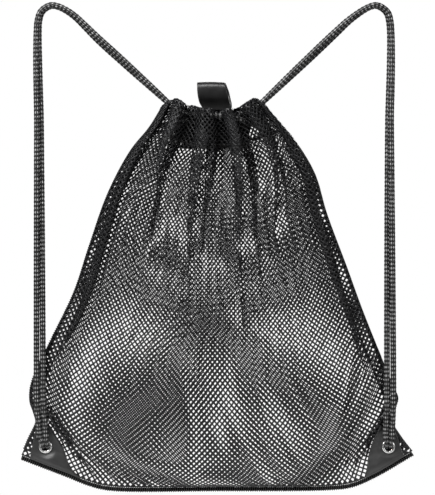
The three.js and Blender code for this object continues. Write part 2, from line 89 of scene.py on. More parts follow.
FOLD_RUN_IN = 12.0  # width over which the cloth rises to a fold's edge
FOLD_RETURN = 0.45  # the share of the lift left where the cloth turns back again under a fold
CREASE_AT, CREASE_END = 4.0, 9.0  # the deepest point and the end of the crease beside a fold
CASING_HEM = 36.0  # how far the net turns down inside the casing
HEM_GAP = 2.6  # between the net and the layer turned down inside it
HEM_LEAST_OUT = 3.0
DIRECTIONS = {"front": -1.0, "back": 1.0}
SIDES = ("left", "right")
CURVE_STEPS = 24  # points that a smooth curve gets between two given ones


# ---------- small maths ----------
def centripetal(points):
    """A centripetal Catmull-Rom curve through points, as in the CAD."""
    p = np.asarray(points, float)
    p = np.vstack([2 * p[0] - p[1], p, 2 * p[-1] - p[-2]])
    out = []
    for k in range(1, len(p) - 2):
        p0, p1, p2, p3 = p[k - 1 : k + 3]
        d0, d1, d2 = (max(np.linalg.norm(b - a) ** 0.5, 1e-6) for a, b in ((p0, p1), (p1, p2), (p2, p3)))
        m1 = ((p1 - p0) / d0 - (p2 - p0) / (d0 + d1) + (p2 - p1) / d1) * d1
        m2 = ((p2 - p1) / d1 - (p3 - p1) / (d1 + d2) + (p3 - p2) / d2) * d1
        t = np.arange(CURVE_STEPS)[:, None] / CURVE_STEPS
        out.append(
            (2 * t**3 - 3 * t**2 + 1) * p1
            + (t**3 - 2 * t**2 + t) * m1
            + (3 * t**2 - 2 * t**3) * p2
            + (t**3 - t**2) * m2
        )
    out.append(p[-2][None])
    return np.vstack(out)


def profile(pairs):
    """A smooth function through [input, value] pairs, level beyond both ends."""
    curve = centripetal([(a, b, 0) for a, b in pairs])
    return lambda t: np.interp(t, curve[:, 0], curve[:, 1])


def smooth(t, low, high):
    s = np.clip((np.asarray(t, float) - low) / (high - low), 0, 1)
    return s * s * (3 - 2 * s)


def lerp(a, b, t):
    return a + (b - a) * t


def unit(v):
    return v / np.maximum(np.linalg.norm(v, axis=-1, keepdims=True), 1e-9)


def distance_along(points):
    """The distance along a line at each of its points."""
    return np.r_[0, np.cumsum(np.linalg.norm(np.diff(points, axis=0), axis=1))]


def on_line(at, run, values):
    """Three-part values given at the distances run, at other distances along the same line."""
    return np.stack([np.interp(at, run, values[:, k]) for k in range(3)], -1)


def spaced(points, step):
    """The same line with points about step apart along it."""
    p = np.asarray(points, float)
    run = distance_along(p)
    count = max(int(round(run[-1] / step)), 2)
    return on_line(np.linspace(0, run[-1], count + 1), run, p)


def length_of(points):
    return float(np.linalg.norm(np.diff(np.asarray(points, float), axis=0), axis=1).sum())


# ---------- the bag's shape, as in the CAD ----------
left_outline = profile(
    [
        (CORNER_Z, -194), (-430, -186.5), (-415, -180), (-404, -182.5), (-392, -186), (-375, -184),
        (-336, -166), (-285, -141.5), (-240, -126.5), (-187, -107.5), (-145, -85), (-122, -66),
        (CASING_TOP_Z, -53),
    ]
)
right_outline = profile(
    [
        (CORNER_Z, 197), (-430, 184.5), (-415, 176.5), (-402, 180.5), (-393, 182.5), (-380, 177),
        (-307, 147.5), (-263, 131.5), (-209, 111.5), (-169, 99.5), (-138, 81.5), (-119, 66),
        (CASING_TOP_Z, 50),
    ]
)
# Heights of the net's lower and upper edges, by the place across the flat cloth.
lower_line = profile(
    [
        (0, -449.3), (16, -455.3), (47, -466.9), (70, -475.8), (90, -480.2), (200, -480.7),
        (318, -479.6), (338, -477), (362, -467), (400, -445.3),
    ]
)
upper_line = profile(
    [
        (0, CASING_TOP_Z), (20, -98.5), (52, -95), (76, -98), (96, -101.5), (120, -101.3),
        (156, -105.3), (200, -105.5), (248, -106), (280, -104.5), (308, -102), (332, -98),
        (356, -94.5), (380, -97.5), (400, CASING_TOP_Z),
    ]
)


def lower_edge(u):
    return lower_line(u * CLOTH_WIDTH)


def upper_edge(u):
    return upper_line(u * CLOTH_WIDTH)


bulge = profile(
    [
        (0, 0), (0.03, 15), (0.08, 31), (0.16, 43), (0.27, 47), (0.42, 41), (0.6, 31), (0.78, 23),
        (0.9, 18), (1, CASING_DEPTH),
    ]
)
roundness = profile([(0, 1.4), (0.1, 1.2), (0.25, 0.85), (0.5, 0.72), (0.8, 0.6)])


def flat_margin(v):
    return 0.18 * np.clip(1 - v / 0.13, 0, 1)


def seam_half_gap(v):
    seam = lerp(CORNER_HALF_GAP, SEAM_HALF_GAP, smooth(v, 0.085, 0.115))
    return lerp(seam, CASING_END_HALF_GAP, smooth(v, 0.85, 0.94))


def shell_out(u, v):
    """How far the shell stands out from the middle plane."""
    margin = flat_margin(v)
    share = np.clip((u - margin) / (1 - 2 * margin), 0, 1)
    lens = np.maximum(np.sin(np.pi * share), 0) ** roundness(v)
    return seam_half_gap(v) + bulge(v) * lens


# ---------- meshes ----------
def mesh_object(name, points, faces, material):
    mesh = bpy.data.meshes.new(name)
    mesh.from_pydata((np.asarray(points, float) * MM).tolist(), [], [list(map(int, f)) for f in faces])
    mesh.validate()
    mesh.polygons.foreach_set("use_smooth", [True] * len(mesh.polygons))
    mesh.materials.append(material)
    mesh.update()
    obj = bpy.data.objects.new(name, mesh)
    bpy.context.scene.collection.objects.link(obj)
    return obj


def bag_piece(name, arrays, material, node=None):
    """A visible piece that moves with the bag's body and stands for a CAD node, if one is named."""
    obj = mesh_object(name, *arrays, MATERIALS[material])
    if node is not None:
        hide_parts(node)
    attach(obj, "bag")
    return obj


def frames_along(path, start_normal=(0, 1, 0)):
    """Tangents and a pair of cross directions that don't twist along the path."""
    tangents = unit(np.gradient(path, axis=0))
    first = np.asarray(start_normal, float)
    first = unit(first - tangents[0] * (first @ tangents[0]))
    across = [first]
    for t in tangents[1:]:
        a = across[-1] - t * (across[-1] @ t)
        across.append(a / max(np.linalg.norm(a), 1e-9))
    across = np.array(across)
    return tangents, across, np.cross(tangents, across)


def tube_faces(count, sides):
    """Faces of a capped tube of count rings with sides points each."""
    faces = []
    for r in range(count - 1):
        a = r * sides
        for i in range(sides):
            n = (i + 1) % sides
            faces.append((a + i, a + n, a + n + sides, a + i + sides))
    last = (count - 1) * sides
    faces.append(tuple(range(sides))[::-1])
    faces.append(tuple(range(last, last + sides)))
    return faces


def tube_arrays(path, radius_at, sides, start_normal=(0, 1, 0)):
    """Points and faces of a capped tube. radius_at(distance, angle) gives the radius as arrays."""
    _, across, other = frames_along(path, start_normal)
    run = distance_along(path)
    angle = 2 * np.pi * np.arange(sides) / sides
    radius = radius_at(run[:, None], angle[None, :]) * np.ones((len(path), sides))
    points = (
        path[:, None]
        + across[:, None] * (np.cos(angle)[None, :, None] * radius[..., None])
        + other[:, None] * (np.sin(angle)[None, :, None] * radius[..., None])
    ).reshape(-1, 3)
    return points, tube_faces(len(path), sides)


def merged(parts):
    """Several (points, faces) pairs as one."""
    points, faces, base = [], [], 0
    for p, f in parts:
        points.append(np.asarray(p, float))
        faces.extend([tuple(i + base for i in face) for face in f])
        base += len(p)
    return np.vstack(points), faces


def set_attribute(obj, name, values):
    data = obj.data.attributes.new(name, "FLOAT", "POINT")
    data.data.foreach_set("value", np.asarray(values, np.float32).ravel())


# ---------- materials ----------
class Nodes:
    """A material's Principled shader with short ways to add nodes to it."""

    def __init__(self, name, colour, roughness, metallic=0.0, **sockets):
        self.material = bpy.data.materials.new(name)
        self.material.use_nodes = True
        self.tree = self.material.node_tree
        self.shader = self.tree.nodes["Principled BSDF"]
        self.shader.inputs["Base Color"].default_value = (*colour, 1)
        self.shader.inputs["Roughness"].default_value = roughness
        self.shader.inputs["Metallic"].default_value = metallic
        for key, value in sockets.items():
            self.shader.inputs[key.replace("_", " ")].default_value = value
        self.place = None

    def add(self, kind, **values):
        node = self.tree.nodes.new(kind)
        for key, value in values.items():
            if hasattr(node, key):
                setattr(node, key, value)
            else:
                node.inputs[key].default_value = value
        return node

    def link(self, a, b):
        self.tree.links.new(a, b)

    def position(self):
        if self.place is None:
            self.place = self.add("ShaderNodeTexCoord")
        return self.place.outputs["Object"]

    def noise(self, scale, detail=3.0, stretch=None):
        node = self.add("ShaderNodeTexNoise", Scale=scale, Detail=detail)
        source = self.position()
        if stretch is not None:
            mapping = self.add("ShaderNodeMapping")
            mapping.inputs["Scale"].default_value = stretch
            self.link(source, mapping.inputs["Vector"])
            source = mapping.outputs["Vector"]
        self.link(source, node.inputs["Vector"])
        return node.outputs["Fac"]

    def ramp(self, value, stops):
        node = self.add("ShaderNodeValToRGB")
        elements = node.color_ramp.elements
        while len(elements) < len(stops):
            elements.new(0.5)
        for element, (at, colour) in zip(elements, stops):
            element.position = at
            element.color = (*colour, 1) if hasattr(colour, "__len__") else (colour, colour, colour, 1)
        self.link(value, node.inputs["Fac"])
        return node.outputs["Color"]

    def attribute(self, name):
        node = self.add("ShaderNodeAttribute", attribute_name=name)
        return node.outputs["Fac"]

    def bump(self, value, strength, distance, over=None):
        node = self.add("ShaderNodeBump", Strength=strength, Distance=distance)
        self.link(value, node.inputs["Height"])
        if over is not None:
            self.link(over, node.inputs["Normal"])
        return node.outputs["Normal"]

    def use(self, socket, value):
        self.link(value, self.shader.inputs[socket])


def net_thread_material():
    m = Nodes("net_thread", (0.008, 0.008, 0.009), 0.4, Specular_IOR_Level=0.5)
    fibres = m.noise(2600, 2, (1, 1, 0.35))
    m.use("Normal", m.bump(fibres, 0.35, 0.0002))
    return m.material


def cord_material():
    m = Nodes("braided_cord", (0.02, 0.02, 0.02), 0.4, Specular_IOR_Level=0.4)
    filaments = m.noise(3000, 2)
    # The colour is painted light: the painted highlight values make raised strands pale grey to near
    # white and leave the strands below as painted shade, over a near-black cord.
    colour = m.ramp(m.attribute("painted_highlight"), [(0.0, 0.0035), (0.22, 0.008), (0.5, 0.2), (1.0, 0.62)])
    m.use("Base Color", colour)
    m.use("Roughness", m.ramp(filaments, [(0.3, 0.34), (0.7, 0.56)]))
    m.use("Normal", m.bump(filaments, 0.4, 0.0002))
    return m.material


def tape_material():
    m = Nodes("lining_tape", (0.004, 0.004, 0.0045), 0.85, Specular_IOR_Level=0.15)
    weave = m.noise(1500, 2, (1, 1, 0.25))
    cloud = m.noise(60, 3)
    m.use("Base Color", m.ramp(cloud, [(0.3, 0.002), (0.7, 0.0035)]))
    m.use("Normal", m.bump(weave, 0.5, 0.0003))
    return m.material


def leather_material(name, tone, roughness_low, roughness_high, coat):
    base = (0.013, 0.013, 0.014)
    m = Nodes(name, base, 0.45, Specular_IOR_Level=0.5, Coat_Weight=coat, Coat_Roughness=0.3)
    grain = m.add("ShaderNodeTexVoronoi", Scale=1500.0)
    m.link(m.position(), grain.inputs["Vector"])
    cloud = m.noise(70, 4)
    # The two tones are the ends of a random cloudy colour. For the corner leather they are also raised as
    # painted sheen.
    m.use("Base Color", m.ramp(cloud, [(0.3, tone[0]), (0.7, tone[1])]))
    m.use("Roughness", m.ramp(m.noise(160, 4), [(0.3, roughness_low), (0.7, roughness_high)]))
    soft = m.bump(m.noise(220, 4), 0.35, 0.0006)
    m.use("Normal", m.bump(grain.outputs["Distance"], 0.25, 0.00015, over=soft))
    return m.material


def thread_material():
    m = Nodes("sewing_thread", (0.012, 0.012, 0.013), 0.5, Specular_IOR_Level=0.5)
    twist = m.noise(2500, 2)
    m.use("Base Color", m.ramp(twist, [(0.35, 0.008), (0.65, 0.03)]))
    m.use("Normal", m.bump(twist, 0.4, 0.0002))
    return m.material


def metal_material():
    m = Nodes("polished_nickel", (0.9, 0.9, 0.89), 0.16, metallic=1.0)
    wear = m.noise(900, 4)
    m.use("Base Color", m.ramp(m.noise(240, 3), [(0.3, (0.86, 0.86, 0.85)), (0.7, (0.95, 0.95, 0.94))]))
    m.use("Roughness", m.ramp(wear, [(0.3, 0.18), (0.75, 0.34)]))
    m.use("Normal", m.bump(m.noise(500, 2), 0.08, 0.0002))
    return m.material


MATERIALS = {
    "net": net_thread_material(),
    "cord": cord_material(),
    "tape": tape_material(),
    # The corner leather's tone is part real colour, part painted sheen: it is set lighter than the loop
    # band's black to stand in for the leather's sheen.
    "leather": leather_material("corner_leather", (0.022, 0.036), 0.36, 0.52, 0.6),
    "band": leather_material("loop_band", (0.005, 0.009), 0.34, 0.46, 0.3),
    "thread": thread_material(),
    "metal": metal_material(),
}


# ---------- camera, light and floor ----------
def make_camera():
    data = bpy.data.cameras.new("camera")
    data.lens = 160
    data.sensor_width = 36
    camera = bpy.data.objects.new("camera", data)
    camera.location = (0.002, -2.2, -0.242)
    camera.rotation_euler = (math.radians(90), 0, 0)
    bpy.context.scene.collection.objects.link(camera)
    bpy.context.scene.camera = camera


def area_light(name, place, target, size, power):
    data = bpy.data.lights.new(name, "AREA")
    data.shape = "RECTANGLE"
    data.size, data.size_y = size
    data.energy = power
    light = bpy.data.objects.new(name, data)
    light.location = place
    light.rotation_euler = (Vector(target) - Vector(place)).to_track_quat("-Z", "Y").to_euler()
    bpy.context.scene.collection.objects.link(light)


def white_for_camera(tree, seen, lit):
    """A strength that is `seen` for the camera's own rays and `lit` for all other light."""
    path = tree.nodes.new("ShaderNodeLightPath")
    mix = tree.nodes.new("ShaderNodeMapRange")
    mix.inputs["To Min"].default_value = lit
    mix.inputs["To Max"].default_value = seen
    tree.links.new(path.outputs["Is Camera Ray"], mix.inputs["Value"])
    return mix.outputs["Result"]


def make_light():
    world = bpy.data.worlds.new("studio")
    bpy.context.scene.world = world
    world.use_nodes = True
    sky = world.node_tree.nodes["Background"]
    sky.inputs["Color"].default_value = (1, 1, 1, 1)
    world.node_tree.links.new(white_for_camera(world.node_tree, 1.0, 0.1), sky.inputs["Strength"])
    area_light("key", (-1.5, -1.5, 1.1), (0, 0, -0.25), (0.7, 0.5), 42)
    area_light("fill", (1.7, -1.3, 0.3), (0, 0, -0.25), (0.7, 0.9), 9)
    area_light("top", (-0.15, -0.6, 0.55), (0, 0, -0.12), (0.6, 0.3), 6)
    area_light("rear", (0.5, 2.0, 0.8), (0, 0, -0.25), (1.0, 1.0), 18)
    bpy.context.scene.view_settings.view_transform = "Standard"


def make_floor():
    """A round pale floor that is as white as the studio beyond it from a metre out."""
    bpy.ops.mesh.primitive_circle_add(vertices=96, radius=7, fill_type="NGON", location=(0, 0, -0.62))
    floor = bpy.context.object
    floor.name = "floor"
    material = bpy.data.materials.new("floor")
    material.use_nodes = True
    tree = material.node_tree
    shader = tree.nodes["Principled BSDF"]
    shader.inputs["Base Color"].default_value = (0.93, 0.93, 0.93, 1)
    shader.inputs["Roughness"].default_value = 0.9
    glow = tree.nodes.new("ShaderNodeEmission")
    tree.links.new(white_for_camera(tree, 1.0, 0.16), glow.inputs["Strength"])
    place = tree.nodes.new("ShaderNodeTexCoord")
    reach = tree.nodes.new("ShaderNodeVectorMath")
    reach.operation = "LENGTH"
    tree.links.new(place.outputs["Object"], reach.inputs[0])
    fade = tree.nodes.new("ShaderNodeMapRange")
    fade.interpolation_type = "SMOOTHSTEP"
    fade.inputs["From Min"].default_value = 0.35
    fade.inputs["From Max"].default_value = 1.0
    tree.links.new(reach.outputs["Value"], fade.inputs["Value"])
    mix = tree.nodes.new("ShaderNodeMixShader")
    tree.links.new(fade.outputs["Result"], mix.inputs["Fac"])
    tree.links.new(shader.outputs["BSDF"], mix.inputs[1])
    tree.links.new(glow.outputs["Emission"], mix.inputs[2])
    tree.links.new(mix.outputs["Shader"], tree.nodes["Material Output"].inputs["Surface"])
    floor.data.materials.append(material)
    floor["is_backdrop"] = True


# ---------- cords ----------
STRAP_ROUTES = {
    "left": [
        (-47.3, 0, -97.3, 0), (-62, 0, -83.8, 10), (-80, 0, -67.5, 20), (-97, 0, -52, 26),
        (-112.5, 0, -38, 26), (-122, 0, -29, 22), (-131, 0, -20, 16), (-141, 0, -10.6, 10),
        (-150.4, 0, -4.2, 6), (-157, 0, -1.2, 4), (-163.5, 0, 0, 4), (-169.5, 0, -2.2, 6),
        (-174.3, 0, -6.7, 10), (-177, 0, -15, 14), (-177.8, -0.5, -27, 18), (-177.7, -1.5, -55, 27),
        (-177, -3, -85, 32), (-176.3, -4, -110, 35), (-175.9, -6, -160, 42), (-175.5, -8.5, -210, 50),
        (-175.2, -10.5, -260, 58), (-174.9, -12.5, -310, 66), (-174.6, -14.3, -360, 76),
        (-174.3, -14.5, -395, 85), (-173.5, -11.2, -411, 90), (-172.6, -8.15, -423.5, 90),
        (-172.5, -8, -430, 90),
    ],
    "right": [
        (46.3, 0, -97.3, 0), (61, 0, -83.4, 10), (79, 0, -66.3, 20), (97, 0, -49.3, 26),
        (113, 0, -34, 26), (123, 0, -24.6, 22), (132, 0, -16.2, 16), (142.3, 0, -8.3, 10),
        (150, 0, -3.4, 6), (155.5, 0, -0.9, 4), (160.7, 0, 0, 4), (167, 0, -2.6, 6),
        (172.1, 0, -7.9, 10), (174.2, 0, -15.5, 12), (175.2, -0.5, -27, 12), (175.3, -1.5, -55, 18),
        (174.6, -3, -85, 22), (173.8, -4, -110, 24), (173.6, -6, -160, 34), (173.5, -8.5, -210, 44),
        (173.5, -10.5, -260, 54), (173.5, -12.5, -310, 64), (173.5, -14.3, -360, 76),
        (173.5, -14.5, -395, 85), (173.2, -11.2, -411, 90), (172.95, -8.15, -423.5, 90),
        (172.9, -8, -430, 90),
    ],
}
CASING_RUN_FRONT = {
    "left": [
        (-46.6, -3.2, -97.95), (-42, -3.7, -102.2), (-36, -7, -106.2), (-26, -14, -108.6),
        (-12, -18.5, -110), (0, -19.9, -111), (14, -19.6, -113), (28, -16.5, -116),
        (40, -11.5, -118.5), (49, -6.3, -119.6), (53.5, -2.4, -120),
    ],
    "right": [
        (45.6, -3.2, -97.95), (41.2, -3.5, -102.2), (36, -5.8, -106.2), (26, -9.5, -108.6),
        (12, -12, -110), (0, -13, -111), (-14, -12.2, -113), (-28, -10.4, -116),
        (-40, -7.8, -118.5), (-49, -5.6, -119.6), (-53.5, -2.4, -120),
    ],
}
BRAID_STRANDS = 8  # in each direction
BRAID_REPEAT = 4.15  # millimetres of cord per strand that crosses over
BRAID_STEP = 0.75  # between the rings of points of a braided cord
STRAP_PHASE = {"front": 0.3, "back": 0.0}


def braid(run, angle, phase=0.0):
    """Height (0 to 1) of a diamond braid's surface and its painted highlight (0 to 1): lighter on the
    raised strands that cross over, darker as painted shade on the strands that pass under.
    """
    turn = angle * BRAID_STRANDS / (2 * np.pi)
    one = turn + run / BRAID_REPEAT + phase
    two = turn - run / BRAID_REPEAT - phase
    over = np.mod(np.floor(one) + np.floor(two), 2) < 0.5
    across = np.where(over, np.mod(one, 1), np.mod(two, 1))
    along = np.where(over, np.mod(two, 1), np.mod(one, 1))
    height = np.sin(np.pi * across) ** 0.7 * (0.35 + 0.65 * np.sin(np.pi * along))
    strand = np.where(over, np.floor(one), np.floor(two) + 0.5)
    chance = np.mod(np.sin(strand * 12.9898 + np.where(over, 1.7, 4.1)) * 43758.5453, 1)
    pick = np.floor(one) * 7.13 + np.floor(two) * 3.71
    flicker = np.mod(np.sin(pick) * 24634.6345, 1)
    # Painted highlight: raised over strands are painted light and under strands painted shade, with a
    # random brightness per strand and per crossing.
    painted_highlight = np.where(over, 1.0, 0.12) * height * (0.5 + 0.3 * chance + 0.35 * flicker)
    return height, np.clip(painted_highlight, 0, 1)


def braided_tube(path, radius, sides=32, step=BRAID_STEP, phase=0.0, taper=None, start=(0, 1, 0)):
    """Points, faces and painted highlight values (light on raised strands, painted shade on the strands
    below) of a braided cord along a path.
    """
    line = spaced(path, step)
    kept = {}

    def radius_at(run, angle):
        height, painted_highlight = braid(run, angle, phase)
        kept["painted_highlight"] = painted_highlight
        size = 1.0 if taper is None else taper(run / run[-1, 0])
        return radius * size * (0.86 + 0.155 * height)

    points, faces = tube_arrays(line, radius_at, sides, start)
    return points, faces, kept["painted_highlight"].ravel()


def strap_paths(side):
    """The centre lines of a strap's two cords, side by side and turning about each other."""
    rows = STRAP_ROUTES[side]
    centre = centripetal([r[:3] for r in rows])
    tangents = unit(np.gradient(centre, axis=0))[::CURVE_STEPS]
    outer = 1 if side == "left" else -1
    paths = {}
    for name, which in DIRECTIONS.items():
        points = []
        for (x, y, z, turn), tangent in zip(rows, tangents):
            across = unit(np.cross(tangent, (0, 1, 0)))
            depth = unit(np.cross(across, tangent))
            angle = math.radians(turn)
            shift = which * CORD_PITCH / 2
            points.append(
                np.array([x, y, z])
                + depth * (shift * math.cos(angle))
                + across * (shift * outer * math.sin(angle))
            )
        paths[name] = centripetal(points)
    return paths


def strap_end(side, name):
    """The braid's phase and cross direction where a strap cord ends."""
    path = spaced(strap_paths(side)[name], BRAID_STEP)
    return STRAP_PHASE[name] + length_of(path) / BRAID_REPEAT, frames_along(path)[1][-1]


def declare_cord(path):
    round(length_of(path) * MM, 3)
    (spaced(path, 5) * MM).tolist()


def make_straps():
    for side in SIDES:
        for name, path in strap_paths(side).items():
            points, faces, painted_highlight = braided_tube(path, CORD_RADIUS, phase=STRAP_PHASE[name])
            node = f"{side}_strap_{name}_cord"
            cord = mesh_object(node + "_braid", points, faces, MATERIALS["cord"])
            # The cord's painted highlight, which the cord material turns into colour.
            set_attribute(cord, "painted_highlight", painted_highlight)
            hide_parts(node)
            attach(cord, side + "_strap")
            declare_cord(path)


def make_casing_runs():
    for side in SIDES:
        front = CASING_RUN_FRONT[side]
        back = [(x, -y, z) for x, y, z in front][::-1]
        path = centripetal(front + back)
        points, faces, painted_highlight = braided_tube(path, CORD_RADIUS, sides=24, step=1.0)
        cord = mesh_object(side + "_casing_cord_braid", points, faces, MATERIALS["cord"])
        # The cord's painted highlight, which the cord material turns into colour.
        set_attribute(cord, "painted_highlight", painted_highlight)
        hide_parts(side + "_cord_in_casing")
        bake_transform(cord)
        declare_cord(path)


# ---------- the net's cloth ----------
GRID = 125  # cloth cells each way in the simulation
CELL = CLOTH_WIDTH / GRID
CLOTH_STEPS = 60
CLOTH_PASSES = 8  # over all links in each step
CLOTH_DAMPING = 0.86
CLOTH_WEIGHT = 0.05  # fall per step
CLOTH_SEEDS = {"front": 7, "back": 11}
LOAD_LUMPS = 13
OUTSIDE_CASING_CORDS = 22.5  # distance out at which the net clears the cords in the casing

# Folds that take up the cloth's spare width, where the cloth doubles back on itself: place by the
# share of the width at the foot of the fold and at the casing, share of the spare width there, and
# the height shares at which the fold dies out and is fully grown.
FOLDS = {
    "front": [
        (0.05, 0.05, 0.18, 0.1, 0.1, 0.35), (0.28, 0.17, 0.07, 0.12, 0.62, 0.95),
        (0.405, 0.39, 0.11, 0.19, 0.46, 0.92), (0.597, 0.62, 0.11, 0.15, 0.4, 0.92),
        (0.76, 0.83, 0.07, 0.14, 0.62, 0.95), (0.95, 0.95, 0.18, 0.11, 0.1, 0.35),
    ],
    "back": [
        (0.05, 0.05, 0.17, 0.1, 0.1, 0.35), (0.24, 0.22, 0.1, 0.15, 0.52, 0.92),
        (0.45, 0.47, 0.11, 0.17, 0.58, 0.92), (0.68, 0.7, 0.11, 0.15, 0.5, 0.92),
        (0.83, 0.86, 0.06, 0.12, 0.64, 0.95), (0.95, 0.95, 0.17, 0.1, 0.1, 0.35),
    ],
}
# The gathered casing's ridges (1) and valleys (0), by the share of the width.
RIDGES = {
    "front": profile(
        [
            (0, 0.1), (4, 0.9), (9, 0.5), (15, 1.0), (23, 0.9), (26.5, 0.1), (29, 0), (33, 0),
            (35.5, 0.5), (39, 1.0), (43, 0.75), (47.5, 1.0), (49.5, 0.5), (51.5, 0), (56, 0),
            (58, 0.5), (62, 1.0), (66.5, 0.8), (68.5, 0.1), (70, 0), (73.5, 0), (76, 0.6),
            (82, 1.0), (87, 0.6), (93, 1.0), (100, 0.1),
        ]
    ),
    "back": profile(
        [
            (0, 0.1), (7, 0.9), (14, 0.1), (24, 1.0), (32, 0.7), (38, 0.05), (47, 0.95), (55, 0.9),
            (61, 0.1), (70, 1.0), (76, 0.15), (85, 1.0), (92, 0.7), (100, 0.1),
        ]
    ),
}


def folded_across(flat, laps):
    """Share of the width and outward lift at flat places of a cloth that laps back at each fold."""
    visible = CLOTH_WIDTH - sum(2 * lap for _, lap, _ in laps)
    ends, hidden = [(0.0, 0.0, 0.0)], 0.0
    for place, lap, grown in laps:
        at = place * visible
        first = at + lap / 2 + hidden
        lift = FOLD_LIFT * grown
        edge, last = at + lap / 2, first + 2 * lap
        ends += [
            (first - FOLD_RUN_IN, edge - FOLD_RUN_IN, 0.0), (first, edge, lift),
            (first + lap, at - lap / 2, FOLD_RETURN * lift), (last, edge, 0.0),
            (last + CREASE_AT, edge + CREASE_AT, -lift), (last + CREASE_END, edge + CREASE_END, 0.0),
        ]
        hidden += 2 * lap
    ends.append((CLOTH_WIDTH, visible, 0.0))
    ends = np.array(ends)
    order = np.maximum.accumulate(ends[:, 0] + np.arange(len(ends)) * 1e-6)
    return np.interp(flat, order, ends[:, 1]) / visible, np.interp(flat, order, ends[:, 2])


def cloth_start(name, random):
    """The cloth before it relaxes: x, distance out from the middle plane and z for each grid point."""
    flat = np.linspace(0, CLOTH_WIDTH, GRID + 1)
    rows = np.linspace(0, 1, GRID + 1)
    points = np.zeros((GRID + 1, GRID + 1, 3))
    for j, v in enumerate(rows):
        side_z = lerp(CORNER_Z, CASING_TOP_Z, v)
        left, right = float(left_outline(side_z)), float(right_outline(side_z))
        width = right - left
        u = np.linspace(0, 1, 201)
        arc = length_of(np.stack([left + width * u, shell_out(u, v), 0 * u], 1))
        spare = max(CLOTH_WIDTH - arc, 0)
        laps = []
        for low_place, top_place, low_part, top_part, low, high in FOLDS[name]:
            up = smooth(v, low, 0.95)
            grown = float(np.clip((v - low) / (high - low), 0, 1))
            lap = lerp(low_part, top_part, up) * spare * grown / 2
            laps.append((lerp(low_place, top_place, up), lap, grown))
        share, lift = folded_across(flat, laps)
        out = shell_out(share, v) + lift
        ridge = (RIDGES[name](100 * share) - CASING_VALLEY) * CASING_RIDGE * smooth(v, 0.7, 0.88)
        out = out + ridge * np.maximum(np.sin(np.pi * share), 0) ** 0.5
        points[j, :, 0] = left + width * share
        points[j, :, 1] = out
        points[j, :, 2] = lerp(lower_edge(share), upper_edge(share), v)
    points[1:-1, 1:-1] += random.normal(0, 0.12, points[1:-1, 1:-1].shape)
    return points


def pull(p, w, slack, a, b, rest, stretch, press):
    """Moves the ends of one family of separate links towards its rest length."""
    d = p[b] - p[a]
    size = np.sqrt((d * d).sum(-1, keepdims=True)) + 1e-9
    over = size - rest
    k = np.where(over > 0, stretch, press * slack[a])
    s = k * over / (size * (w[a] + w[b] + 1e-9))
    p[a] += w[a] * s * d
    p[b] -= w[b] * s * d


def link_families():
    """(a, b, rest, stretch, press) for the threads' diagonals, the rows and columns, and the bends."""
    s = np.s_
    n = GRID
    families = []
    for k in (0, 1):
        families.append((s[0:n, k:n:2], s[1 : n + 1, k + 1 : n + 1 : 2], CELL * 2**0.5, 0.9, 0.35))
        families.append((s[0:n, k + 1 : n + 1 : 2], s[1 : n + 1, k:n:2], CELL * 2**0.5, 0.9, 0.35))
        families.append((s[:, k:n:2], s[:, k + 1 : n + 1 : 2], CELL, 0.7, 0.12))
        families.append((s[k:n:2, :], s[k + 1 : n + 1 : 2, :], CELL, 0.9, 0.3))
    for k in range(4):
        m = n - 1
        families.append((s[:, k:m:4], s[:, k + 2 : n + 1 : 4], 2 * CELL, 0.0, 0.16))
        families.append((s[k:m:4, :], s[k + 2 : n + 1 : 4, :], 2 * CELL, 0.0, 0.22))
    trimmed = []
    for a, b, rest, stretch, press in families:
        probe = np.zeros((n + 1, n + 1))
        ra, rb = probe[a].shape, probe[b].shape
        if ra != rb:
            # Near the grid's edge one end of a family can have a row or column more than the other.
            cut = tuple(min(x, y) for x, y in zip(ra, rb))
            ia = np.arange((n + 1) ** 2).reshape(n + 1, n + 1)[a][: cut[0], : cut[1]]
            ib = np.arange((n + 1) ** 2).reshape(n + 1, n + 1)[b][: cut[0], : cut[1]]
            a, b = np.divmod(ia, n + 1), np.divmod(ib, n + 1)
        trimmed.append((a, b, rest, stretch, press))
    return trimmed


def load_fullness(u, v, random):
    """The share of the shell that the load's lumps fill at each grid point."""
    lumps = np.zeros((GRID + 1, GRID + 1))
    for _ in range(LOAD_LUMPS):
        at = random.uniform((0.12, 0.08), (0.88, 0.5))
        size = random.uniform(0.09, 0.14)
        lumps = np.maximum(lumps, 1 - ((u - at[0]) ** 2 + (v - at[1]) ** 2) / size**2)
    return 0.84 + 0.13 * np.clip(lumps, 0, 1) ** 0.6


def shape_hold(v):
    """How firmly each row keeps the shape it starts with: most at the top of the casing."""
    body = smooth(v, 0.25, 0.5) * 0.09
    casing_top = smooth(v, 0.97, 1.0) * 0.45
    casing = smooth(v, 0.84, 0.89) * smooth(-v, -0.99, -0.95) * 0.12
    return body + casing_top + casing


def cloth_limits(shell, v, full):
    """How far out the cloth lies at least, over the load and the casing's cords, and at most."""
    low = np.where(v < 0.62, shell * lerp(full, 0.25, smooth(v, 0.3, 0.6)), 2.5)
    over_cords = np.minimum(shell - 1.5, OUTSIDE_CASING_CORDS)
    low = np.where(v > 0.88, over_cords, np.minimum(low, shell))
    return low, shell + lerp(2.5, 12, smooth(v, 0.5, 0.88))


